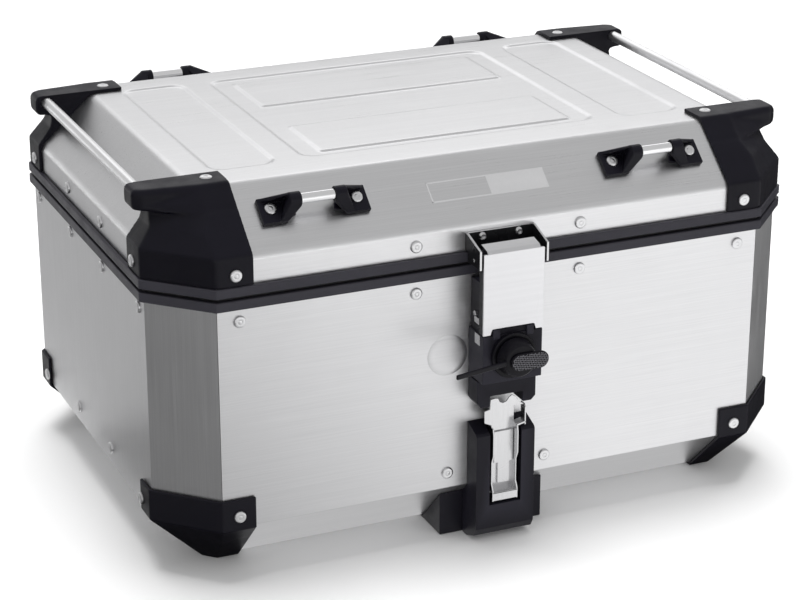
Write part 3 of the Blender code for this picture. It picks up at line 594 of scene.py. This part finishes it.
def lid_guards():
    """The guards on the lid's corners: large soft radii outside, trimmed edges, sockets for the rails."""
    reach_x, reach_y, reach_z = 0.32, 0.24, 0.35
    outline = [(GUARD_X, GUARD_Y), (reach_x, GUARD_Y), (reach_x, reach_y), (GUARD_X, reach_y)]
    trim = slab_mesh(outline, LID_RIM_TOP + GAP, reach_z)
    form = smoothed(new_piece("guard_form", loft_mesh(guard_rings()), GUARD), 0.0013, 9)
    boolean(form, new_piece("tool", trim, GUARD), "INTERSECT")
    smoothed(form, 0.0009, 2, 0.16)
    boolean(form, new_piece("tool", lid_hull(GAP, LID_RIM_TOP - 0.02, 0.0048, 5), GUARD))
    rail_x, rail_z = (RAIL_LOW.x + RAIL_HIGH.x) / 2, (RAIL_LOW.z + RAIL_HIGH.z) / 2
    boolean(form, rod_piece("tool", (RAIL_HIGH.x - RAIL_LOW.x) / 2 + GAP, (rail_x, 0.1, rail_z),
                            (rail_x, RAIL_END + GAP, rail_z), GUARD))
    for name, sign_x, sign_y in corners("lid_guard"):
        bm = bmesh.new()
        bm.from_mesh(form.data)
        bm.transform(Matrix.Diagonal((sign_x, sign_y, 1.0, 1.0)))
        if sign_x * sign_y < 0:
            bmesh.ops.reverse_faces(bm, faces=bm.faces)
        fixed(new_piece(f"{name}_finish", bm, GUARD, 48.0), "lid", "black_plastic", name)
    bpy.data.objects.remove(form, do_unlink=True)


def foot_guards():
    """The moulded guards on the base's lower corners."""
    for name, _, _ in corners("foot_guard"):
        refined(name, "base", "black_plastic", GUARD, 0.0011, 3, 25.0)


def side_rails():
    """The two tubes between the lid's guards."""
    for node in ("side_rail_left", "side_rail_right"):
        low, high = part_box(node)
        x, z = (low.x + high.x) / 2, (low.z + high.z) / 2
        rail = rod_piece(f"{node}_finish", (high.x - low.x) / 2, (x, low.y, z), (x, high.y, z), TUBE)
        fixed(rail, "lid", "rail_tube", node)


# ----------------------------------------------------------------------------------- tie-down loops

def slope_matrix(x, end):
    """A frame on the front (end -1) or rear (end 1) slope: U along it, V up it, W out of it."""
    across = Vector((-end, 0, 0))
    upward = Vector((0, -end * math.cos(SLOPE), math.sin(SLOPE)))
    frame_axes = Matrix((across, upward, across.cross(upward))).transposed().to_4x4()
    return Matrix.Translation(Vector((x, end * HALF_D, LID_FOLD))) @ frame_axes


LOOP_X = 0.1530                        # middle of a loop
LOOP_RIVET = (0.0368, 0.0362, 0.0044)  # place of a bracket's rivet: along the slope, up it, out of it
ROD_V, ROD_W = 0.0357, 0.0155          # place of the rod: up the slope and out of it
ROD_R, ROD_HALF = 0.0043, 0.0220       # its radius and half its length
POCKET_FLOOR = [(0.0160, 0.0300), (0.0270, 0.0260), (0.0270, 0.0455), (0.0200, 0.0415)]
POCKET_CORNER = [(0.0195, 0.0340), (0.0262, 0.0345), (0.0262, 0.0425), (0.0195, 0.0400)]


def tie_down_loops():
    """The brackets with soft edges, their rivets, and the bright rods between them."""
    for end, end_name in ((-1, "front"), (1, "rear")):
        for side, side_name in ((-1, "left"), (1, "right")):
            place = slope_matrix(side * LOOP_X, end)
            for hand, hand_name in ((-1, "a"), (1, "b")):
                node = f"tie_bracket_{end_name}_{side_name}_{hand_name}"
                form = cad_mesh(node)
                for outline, top in ((POCKET_FLOOR, 0.0020), (POCKET_CORNER, 0.0118)):
                    filling = slab_mesh([(hand * u, v) for u, v in outline], GAP, top)
                    filling.transform(place)
                    merge(form, filling)
                bracket = smoothed(new_piece(f"{node}_finish", form, GUARD), 0.00045, 4, 0.12)
                fixed(bracket, "lid", "black_plastic", node)
                u, v, w = LOOP_RIVET
                spot = place @ Vector((hand * u, v, w))
                normal = place.to_3x3() @ Vector((0, 0, 1))
                rivet(f"loop_rivet_{end_name}_{side_name}_{hand_name}", spot, normal, "lid")
            node = f"tie_rod_{end_name}_{side_name}"
            ends = (-ROD_HALF, ROD_V, ROD_W), (ROD_HALF, ROD_V, ROD_W)
            bar = rod_piece(f"{node}_finish", ROD_R, *ends, CHROME)
            bar.data.transform(place)
            fixed(bar, "lid", "polished_steel", node)


# ---------------------------------------------------------------------------------------- fasteners

def rivet(name, spot, normal, body, *nodes):
    """A blind rivet's flanged head: an upright rim, a nearly flat top and a shallow ring."""
    profile = [(0.0, 0.0020), (0.0016, 0.0020), (0.0019, 0.0018), (0.0022, 0.0021), (0.0038, 0.0021),
               (0.0046, 0.0018), (0.0051, 0.0012), (0.0052, 0.0006), (0.0052, 0.0), (0.0, 0.0)]
    bm = turned_mesh(profile, 40)
    bm.transform(Matrix.Translation(spot) @ along(normal))
    fixed(new_piece(name, bm, RIVET, 50.0), body, "rivets", *nodes)


def rivets():
    """Heads on the panels, the guards and the rear."""
    for node in [f"front_rivet_{i}" for i in range(1, 7)] + ["lid_rivet_1", "lid_rivet_2"]:
        low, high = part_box(node)
        x, z = (low.x + high.x) / 2, (low.z + high.z) / 2
        body = "lid" if node.startswith("lid") else "base"
        rivet(f"{node}_finish", (x, PANEL_Y, z), (0, -1, 0), body, node)
        rivet(f"rear_{node}", (x, -PANEL_Y, z), (0, 1, 0), body)
    for side, name in ((-1, "left"), (1, "right")):
        face, out = side * HALF_W, (side, 0, 0)
        for index, y in enumerate((-0.147, -0.047, 0.047, 0.147)):
            rivet(f"side_rivet_{name}_{index}", (face, y, 0.2300), out, "base")
        for index, y in enumerate((-0.048, 0.048)):
            rivet(f"side_low_rivet_{name}_{index}", (face, y, 0.0630), out, "base")
            rivet(f"side_lid_rivet_{name}_{index}", (face, y, 0.2700), out, "lid")
    for name, sign_x, sign_y in corners("guard_rivet"):
        ahead, aside = (0, sign_y, 0), (sign_x, 0, 0)
        lid_x, lid_y = sign_x * (HALF_W + GUARD_WALL_X), sign_y * (HALF_D + GUARD_WALL_Y)
        foot_x, foot_y = sign_x * (HALF_W + FOOT_WALL), sign_y * (HALF_D + FOOT_WALL)
        rivet(f"lid_{name}_face", (sign_x * 0.2300, lid_y, 0.2690), ahead, "lid")
        rivet(f"lid_{name}_side", (lid_x, sign_y * 0.1440, 0.2690), aside, "lid")
        rivet(f"lid_{name}_top", (sign_x * 0.2290, sign_y * 0.1410, PLATE_TOP - 0.0012), (0, 0, 1), "lid")
        rivet(f"foot_{name}_face", (sign_x * 0.2320, foot_y, 0.0595), ahead, "base")
        rivet(f"foot_{name}_side", (foot_x, sign_y * 0.1420, 0.0580), aside, "base")


# -------------------------------------------------------------------------------------- rear hinges

def hinges():
    """The leaves on the base and the lid, and the pins."""
    for name in ("left", "right"):
        for owner, body in (("base", "base"), ("lid", "lid")):
            refined(f"hinge_leaf_{owner}_{name}", body, "polished_steel", STEEL, 0.0004, 2, 50.0)
        pin_piece(f"hinge_pin_{name}", "base")


# ------------------------------------------------------------------------------------ hasp and lock

def hasp_bracket():
    """The dark coated bracket, its screws and its pin, with bright steel strips on its cut edges: bare steel,
    and a painted highlight where light catches the edges.
    """
    refined("hasp_bracket", "lid", "polished_steel", DARK_STEEL, 0.0003, 2, 60.0)
    low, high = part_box("hasp_bracket")
    top, thick, proud = high.z, 0.0017, 0.00035
    # Bright steel strips on the bracket's edges: bare cut steel, and a painted highlight where light catches
    # the edges.
    for side in (-1, 1):
        path = [(PANEL_Y - 0.0012, top + proud), (PANEL_Y - 0.0040, top + proud), (LOCK_Y - proud, 0.2681),
                (LOCK_Y - proud, 0.2520), (LOCK_Y + proud, 0.2520), (LOCK_Y + proud, 0.2677),
                (PANEL_Y - 0.0041, top - proud), (PANEL_Y - 0.0012, top - proud)]
        reach = sorted((side * (high.x - thick), side * high.x))
        edge = slab_mesh(path, *reach, "X")
        name = "left" if side < 0 else "right"
        fixed(new_piece(f"bracket_highlight_edge_{name}", edge, STEEL), "lid", "polished_steel")
    strip = [(low.x, top - 0.0002), (high.x, top - 0.0002), (high.x, top + proud), (low.x, top + proud)]
    fixed(new_piece("bracket_highlight_edge_top", slab_mesh(strip, PANEL_Y - 0.0018, PANEL_Y - GAP, "Y"), STEEL),
          "lid", "polished_steel")
    head = [(0.0, 0.0012), (0.0016, 0.0012), (0.0016, 0.0026), (0.0022, 0.0027), (0.0031, 0.0019),
            (0.0036, 0.0006), (0.0036, 0.0), (0.0, 0.0)]
    for index in (1, 2):
        low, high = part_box(f"bracket_screw_{index}")
        bm = turned_mesh(head, 40)
        bm.transform(Matrix.Translation(((low.x + high.x) / 2, PANEL_Y - 0.0018, (low.z + high.z) / 2))
                     @ along((0, -1, 0)))
        screw = new_piece(f"bracket_screw_{index}_finish", bm, STEEL, 40.0)
        fixed(screw, "lid", "polished_steel", f"bracket_screw_{index}")
    pin_piece("hasp_pin", "lid")


def hasp():
    """The bright front plate with its folded lip, and the dark flanges behind it."""
    half, front = HASP_HIGH.x, HASP_LOW.y
    face = [(-half, 0.1940), (-0.0205, 0.1940), (-0.0190, 0.1990), (0.0190, 0.1990), (0.0205, 0.1940),
            (half, 0.1940), (half, 0.2650), (-half, 0.2650)]
    face = rounded(face, [0.0008, 0.0004, 0.0015, 0.0015, 0.0004, 0.0008, 0.0012, 0.0012])
    plate = new_piece("hasp_plate", round_edges(slab_mesh(face, front, front + 0.0015, "Y"), 0.0004, 3, 60.0),
                      HASP_STEEL)
    fixed(plate, "hasp", "polished_steel", "hasp")
    lip = [(front + 0.0002, 0.2651), (front + 0.0025, 0.2672), (front + 0.0135, 0.2695),
           (front + 0.0135, 0.2681), (front + 0.0030, 0.2656), (front + 0.0012, 0.2640)]
    fold = round_edges(slab_mesh(lip, -0.0238, 0.0238, "X"), 0.0003, 2, 50.0)
    fixed(new_piece("hasp_lip", fold, HASP_STEEL), "hasp", "polished_steel")
    # The flanges are dark coated steel, and their dark tone also stands for the shade inside the hasp:
    # painted shade.
    flange = [(front + 0.0015, 0.1945), (front + 0.0015, 0.2640), (-0.2300, 0.2640), (-0.2215, 0.2610),
              (-0.2215, 0.2540), (-0.2280, 0.2440), (-0.2280, 0.1945)]
    for side, name in ((-1, "left"), (1, "right")):
        reach = sorted((side * (half - 0.0016), side * (half - 0.0001)))
        piece = new_piece(f"hasp_flange_{name}", slab_mesh(flange, *reach, "X"), DARK_STEEL)
        fixed(piece, "hasp", "polished_steel")


def lock():
    """The lock body with its catch, the bezel, and the knob that turns in it."""
    refined("lock_body", "base", "black_plastic", LOCK, 0.0007, 3, 50.0)
    refined("hasp_catch", "base", "polished_steel", STEEL, 0.0004, 2, 60.0)
    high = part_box("lock_body")[1]
    for side, name in ((-1, "left"), (1, "right")):
        window = rounded([(-0.2295, 0.1835), (-0.2200, 0.1835), (-0.2200, 0.1925), (-0.2295, 0.1925)], 0.0006)
        reach = sorted((side * (high.x - 0.0005), side * (high.x + 0.0003)))
        catch = new_piece(f"catch_plate_{name}", slab_mesh(window, *reach, "X"), STEEL)
        fixed(catch, "base", "polished_steel")
        fixed(rod_piece(f"lock_pin_{name}", 0.0022, (side * (high.x - 0.0030), -0.2190, 0.2090),
                        (side * (high.x + 0.0006), -0.2190, 0.2090), STEEL), "base", "polished_steel")
    centre = Vector((0.0, 0.0, (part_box("lock_knob")[0].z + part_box("lock_knob")[1].z) / 2))
    face_out = Matrix.Translation(centre) @ axis_matrix("Y")

    ring = [(0.0084, 0.0001), (0.0196, 0.0001), (0.0200, 0.0006), (0.0200, 0.0024), (0.0195, 0.0031),
            (0.0185, 0.0033), (0.0164, 0.0033), (0.0158, 0.0029), (0.0110, 0.0029), (0.0096, 0.0029),
            (0.0084, 0.0024), (0.0084, 0.0001)]
    bm = turned_mesh(ring, 72)
    bm.transform(Matrix.Translation((0, LOCK_Y, 0)) @ face_out)
    fixed(new_piece("lock_bezel_finish", bm, KNOB, 40.0), "base", "black_plastic", "lock_bezel")

    knob = [(0.0, 0.0), (0.0080, 0.0), (0.0080, 0.0176), (0.0160, 0.0178), (0.0165, 0.0186), (0.0150, 0.0270),
            (0.0142, 0.0292), (0.0126, 0.0302), (0.0, 0.0305)]
    bm = turned_mesh(knob, 72)
    bm.transform(Matrix.Translation((0, -0.2215, 0)) @ face_out)
    fixed(new_piece("lock_knob_finish", bm, KNOB, 40.0), "knob", "black_plastic", "lock_knob")
    knob_grip(centre.z)
    refined("knob_arm", "knob", "black_plastic", KNOB, 0.0009, 3, 40.0)


def knob_grip(height):
    """The flat grip with round ends and fine slanting ribs."""
    low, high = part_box("knob_grip")
    radius = (high.z - low.z) / 2
    left, right = low.x + radius, high.x - radius

    def bar(inset):
        outline = []
        for centre, start in ((right, -90), (left, 90)):
            for step in range(13):
                angle = math.radians(start + 15 * step)
                outline.append((centre + (radius - inset) * math.cos(angle),
                                height + (radius - inset) * math.sin(angle)))
        return outline

    bm = round_edges(slab_mesh(bar(0.0), low.y + 0.0006, high.y, "Y"), 0.0007, 3, 60.0)
    grip = new_piece("knob_grip_finish", bm, KNOB)
    fixed(grip, "knob", "black_plastic", "knob_grip")
    ribs = bmesh.new()
    middle, pitch, reach = Vector(((left + right) / 2, height)), 0.0023, radius * 2.6
    for lean in (math.radians(38), math.radians(122)):
        direction = Vector((math.cos(lean), math.sin(lean)))
        across = Vector((-direction.y, direction.x))
        span = int(reach / pitch)
        for index in range(-span, span + 1):
            ends = clip_to_bar(middle + across * (index * pitch), direction, reach, left, right, height,
                               radius - 0.0010)
            if ends is None:
                continue
            first, last = ends
            side = across * 0.00048
            rib = [first - side, last - side, last + side, first + side]
            slab_mesh(rib, low.y, low.y + 0.0008, "Y", ribs)
    fixed(new_piece("knob_grip_ribs", ribs, GRIP), "knob", "black_plastic")


def clip_to_bar(centre, direction, reach, left, right, height, radius):
    """The part of a line inside a bar with round ends, or None."""
    steps = 60
    inside = []
    for step in range(-steps, steps + 1):
        point = centre + direction * (reach * step / steps)
        nearest = Vector((min(max(point.x, left), right), height))
        if (point - nearest).length <= radius:
            inside.append(point)
    return (inside[0], inside[-1]) if len(inside) > 3 else None


def lower_latch():
    """The block and housing under the lock, the plate's end, and the release lever on its pin."""
    refined("lower_block", "base", "black_plastic", LOCK, 0.0009, 3, 30.0)
    refined("lower_housing", "base", "black_plastic", LOCK, 0.0012, 3, 25.0,
            keep=lambda edge: max(abs(vert.co.x) for vert in edge.verts) > 0.0135)
    refined("mount_plate", "base", "black_plastic", GUARD, 0.0009, 2, 40.0)
    release_lever()
    pin_piece("lever_pin", "base")


def release_lever():
    """A pressed steel channel in the housing's slot, with a wider head above it that ends in two humps."""
    back, plate, front = LEVER_HIGH.y - 0.0022, LEVER_HIGH.y - 0.0072, LEVER_LOW.y - 0.0038
    bm = round_edges(slab_mesh([(-0.0116, 0.0368), (0.0116, 0.0368), (0.0116, 0.1205), (-0.0116, 0.1205)],
                               back - 0.0012, back, "Y"), 0.0003, 2, 60.0)
    head = [(-0.0118, 0.1010), (0.0022, 0.1010), (0.0022, 0.1262), (-0.0010, 0.1250), (-0.0042, 0.1262),
            (-0.0058, 0.1296), (-0.0085, 0.1302), (-0.0128, 0.1296), (-0.0132, 0.1210), (-0.0182, 0.1198),
            (-0.0182, 0.1090), (-0.0118, 0.1060)]
    hump = [(0.0020, 0.1215), (0.0190, 0.1205), (0.0140, 0.1235), (0.0105, 0.1290), (0.0070, 0.1310),
            (0.0045, 0.1295), (0.0020, 0.1260)]
    for outline in (head, hump):
        merge(bm, round_edges(slab_mesh(outline, plate - 0.0012, plate, "Y"), 0.0003, 2, 60.0))
    base = back - 0.0008
    wall = [(base, 0.0368), (base, 0.1045), (front + 0.0012, 0.1035), (front, 0.0980), (front, 0.0790),
            (front + 0.0030, 0.0720), (front + 0.0030, 0.0520), (front, 0.0460), (front, 0.0368)]
    flank = [(base, 0.1040), (base, 0.1215), (plate - 0.0016, 0.1215), (front + 0.0012, 0.1190),
             (front + 0.0012, 0.1060), (front + 0.0012, 0.1030)]
    for outline, start, end in ((wall, -0.0118, -0.0106), (wall, 0.0106, 0.0118), (flank, 0.0178, 0.0190)):
        merge(bm, round_edges(slab_mesh(outline, start, end, "X"), 0.0003, 2, 60.0))
    shelf = [(0.0110, 0.1030), (0.0186, 0.1048), (0.0186, 0.1062), (0.0110, 0.1044)]
    merge(bm, slab_mesh(shelf, front + 0.0012, back, "Y"))
    toe = [(-0.0112, 0.0372), (0.0112, 0.0372), (0.0112, 0.0450), (-0.0112, 0.0450)]
    merge(bm, round_edges(slab_mesh(toe, front, front + 0.0010, "Y"), 0.0003, 2, 60.0))
    sole = [(back, 0.0440), (front, 0.0440), (front, 0.0450), (back, 0.0450)]
    merge(bm, slab_mesh(sole, -0.0112, 0.0112, "X"))
    tongue = [(-0.0040, 0.0500), (0.0070, 0.0500), (0.0070, 0.0690), (0.0100, 0.0690), (0.0100, 0.0980),
              (-0.0075, 0.0980), (-0.0075, 0.0690), (-0.0040, 0.0690)]
    merge(bm, round_edges(slab_mesh(tongue, back - 0.0034, back - 0.0012, "Y"), 0.0004, 2, 60.0))
    fixed(new_piece("release_lever_finish", bm, STEEL), "lever", "polished_steel", "release_lever")


def merge(target, addition):
    """Adds one bmesh to another. The one that is added is used up."""
    mesh = bpy.data.meshes.new("addition")
    addition.to_mesh(mesh)
    addition.free()
    target.from_mesh(mesh)
    bpy.data.meshes.remove(mesh)


def panel_disc():
    """The shallow round pressing in the front panel, half hidden by the lock body."""
    bm = turned_mesh([(0.0, 0.0007), (0.0130, 0.0007), (0.0152, 0.0006), (0.0170, 0.0003), (0.0184, -0.0001),
                      (0.0186, -0.0004), (0.0, -0.0004)], 72)
    bm.transform(Matrix.Translation((-0.0460, PANEL_Y, 0.1700)) @ axis_matrix("Y"))
    fixed(new_piece("panel_disc", bm, FRONT_SHEET, 50.0), "base", "aluminium_sheet")


def badge():
    """A blank badge of two cells on the front slope: one with a raised frame, one plain."""
    place = slope_matrix(0.0, -1)
    low, high, split = 0.0230, 0.0425, 0.0015
    plain = slab_mesh([(split, low), (0.0540, low), (0.0540, high), (split, high)], -0.0002, 0.00012)
    line = 0.0012
    for outline in (((-0.0520, low), (split, low + line)), ((-0.0520, high - line), (split, high)),
                    ((-0.0520, low), (-0.0520 + line, high))):
        (u0, v0), (u1, v1) = outline
        merge(plain, slab_mesh([(u0, v0), (u1, v0), (u1, v1), (u0, v1)], -0.0002, 0.00012))
    plain.transform(place)
    fixed(new_piece("blank_badge", plain, BADGE), "lid", "aluminium_sheet")


# --------------------------------------------------------------------------------- stage and camera

def plain_material(name, colour, emission):
    """A matt material with a little light of its own."""
    material = bpy.data.materials.new(name)
    material.use_nodes = True
    shader = material.node_tree.nodes["Principled BSDF"]
    shader.inputs["Base Color"].default_value = (*colour, 1.0)
    shader.inputs["Roughness"].default_value = 0.9
    shader.inputs["Specular IOR Level"].default_value = 0.1
    shader.inputs["Emission Color"].default_value = (*colour, 1.0)
    shader.inputs["Emission Strength"].default_value = emission
    return material


def area_light(name, location, target, size, power):
    """A rectangular light aimed at a point. Reflections do not see it."""
    data = bpy.data.lights.new(name, "AREA")
    data.shape = "RECTANGLE"
    data.size, data.size_y = size
    data.energy = power
    light = bpy.data.objects.new(name, data)
    light.location = location
    light.rotation_euler = (Vector(target) - Vector(location)).to_track_quat("-Z", "Y").to_euler()
    light.visible_glossy = False
    bpy.context.scene.collection.objects.link(light)


def soft_sun(name, towards, strength, spread):
    """Even light from a wide patch of the ceiling, its width an angle in degrees."""
    data = bpy.data.lights.new(name, "SUN")
    data.energy = strength
    data.angle = math.radians(spread)
    light = bpy.data.objects.new(name, data)
    light.rotation_euler = Vector(towards).to_track_quat("Z", "Y").to_euler()
    light.visible_glossy = False
    bpy.context.scene.collection.objects.link(light)


def reflector(name, outline, low, high=None, direction=(0, 0, 1), start=0.0, end=1.0):
    """A glowing card that only reflections see.

    It is evenly bright, or its brightness runs from low to high along a direction.
    """
    high = low if high is None else high
    mesh = bpy.data.meshes.new(name)
    mesh.from_pydata(outline, [], [tuple(range(len(outline)))])
    card = Finish(name, (0.0, 0.0, 0.0), 1.0, Specular_IOR_Level=0.0, Emission_Strength=1.0)
    here = card.add("ShaderNodeNewGeometry").outputs["Position"]
    run = card.add("ShaderNodeVectorMath", {0: here, 1: direction}, operation="DOT_PRODUCT")
    card.set(card.shader, {"Emission Color": card.spread(run.outputs["Value"], low, high, start, end)})
    mesh.materials.append(card.material)
    piece = bpy.data.objects.new(name, mesh)
    for kind in ("camera", "diffuse", "shadow", "transmission", "volume_scatter"):
        setattr(piece, f"visible_{kind}", False)
    bpy.context.scene.collection.objects.link(piece)


def floor_card(name, low_corner, high_corner, **brightness):
    """A card that lies just over the floor."""
    (x0, y0), (x1, y1), z = low_corner, high_corner, 0.0002
    reflector(name, [(x0, y0, z), (x1, y0, z), (x1, y1, z), (x0, y1, z)], **brightness)


def wall_card(name, first, last, low_z, high_z, **brightness):
    """A card that stands on the line between two places."""
    reflector(name, [(*first, low_z), (*last, low_z), (*last, high_z), (*first, high_z)], **brightness)


def studio_world():
    """A bright horizon under a dimmer ceiling."""
    world = bpy.data.worlds.new("studio")
    world.use_nodes = True
    tree = world.node_tree
    ray = tree.nodes.new("ShaderNodeTexCoord").outputs["Generated"]
    height = tree.nodes.new("ShaderNodeSeparateXYZ")
    tree.links.new(ray, height.inputs[0])
    fade = tree.nodes.new("ShaderNodeMapRange")
    tree.links.new(height.outputs["Z"], fade.inputs["Value"])
    for socket, value in (("From Min", 0.04), ("From Max", 0.34), ("To Min", 0.90), ("To Max", 0.59)):
        fade.inputs[socket].default_value = value
    tree.links.new(fade.outputs["Result"], tree.nodes["Background"].inputs["Color"])
    bpy.context.scene.world = world


def stage():
    """A pale floor and soft light, with cards beside the case for the tones its bright panels reflect."""
    mesh = bpy.data.meshes.new("floor")
    reach = 30.0
    mesh.from_pydata([(-reach, -reach, 0), (reach, -reach, 0), (reach, reach, 0), (-reach, reach, 0)], [],
                     [(0, 1, 2, 3)])
    mesh.materials.append(plain_material("floor", (0.90, 0.90, 0.90), 0.04))
    floor = bpy.data.objects.new("floor", mesh)
    floor.location.z = -0.0002
    bpy.context.scene.collection.objects.link(floor)
    studio_world()
    area_light("key", (1.6, -2.2, 2.4), (0, 0, 0.15), (1.8, 1.8), 8)
    soft_sun("overhead", (0.04, 0.20, 1.0), 2.5, 34.0)
    beside, foot, front, far = 0.33, 0.215, -0.24, 1.6    # edges of the cards round the case
    back = 2.0                                            # the walls behind it
    floor_card("front_card", (-beside, -far), (1.2, front), direction=(1, 0, 0), start=-0.22, end=0.14,
               low=0.53, high=1.16)
    floor_card("under_card", (-foot, front), (foot, 0.6), low=0.62)
    floor_card("left_foot_card", (-beside, front), (-foot, -0.1), low=0.03)
    floor_card("right_foot_card", (foot, front), (beside, -0.1), low=0.03)
    floor_card("left_card", (-far, -1.2), (-beside, 0.12), low=0.20)
    floor_card("rear_left_card", (-far, 0.12), (-beside, far), low=0.52)
    floor_card("right_card", (beside, front), (far, 1.4), low=0.07)
    wall_card("left_wall", (-far, far), (-far, -1.2), 0.0, 0.9, low=0.22)
    wall_card("right_wall", (far, -0.3), (far, far), 0.0, 0.7, low=0.14)
    wall_card("rear_left_wall", (-3.0, back), (-0.35, back), 0.6, 2.4, low=0.60)
    wall_card("rear_right_wall", (-0.35, back), (3.0, back), 0.6, 2.4, start=0.88, end=1.22,
              low=0.42, high=1.50)


def camera():
    """A long lens that looks at the case from the front left and above."""
    data = bpy.data.cameras.new("camera")
    data.sensor_width = 36.0
    data.lens = 107.0
    data.clip_end = 100.0
    view = bpy.data.objects.new("camera", data)
    yaw, pitch = math.radians(23.48), math.radians(21.46)
    view.location = (-0.8047, -1.8552, 0.9321)
    direction = Vector((math.sin(yaw) * math.cos(pitch), math.cos(yaw) * math.cos(pitch), -math.sin(pitch)))
    view.rotation_euler = direction.to_track_quat("-Z", "Y").to_euler()
    bpy.context.scene.collection.objects.link(view)
    bpy.context.scene.camera = view


base_sheets()
lid_shell()
rims_and_seal()
floor_mat()
lid_guards()
foot_guards()
side_rails()
tie_down_loops()
rivets()
hinges()
hasp_bracket()
hasp()
lock()
lower_latch()
panel_disc()
badge()
stage()
camera()
bpy.context.scene.view_settings.view_transform = "Standard"
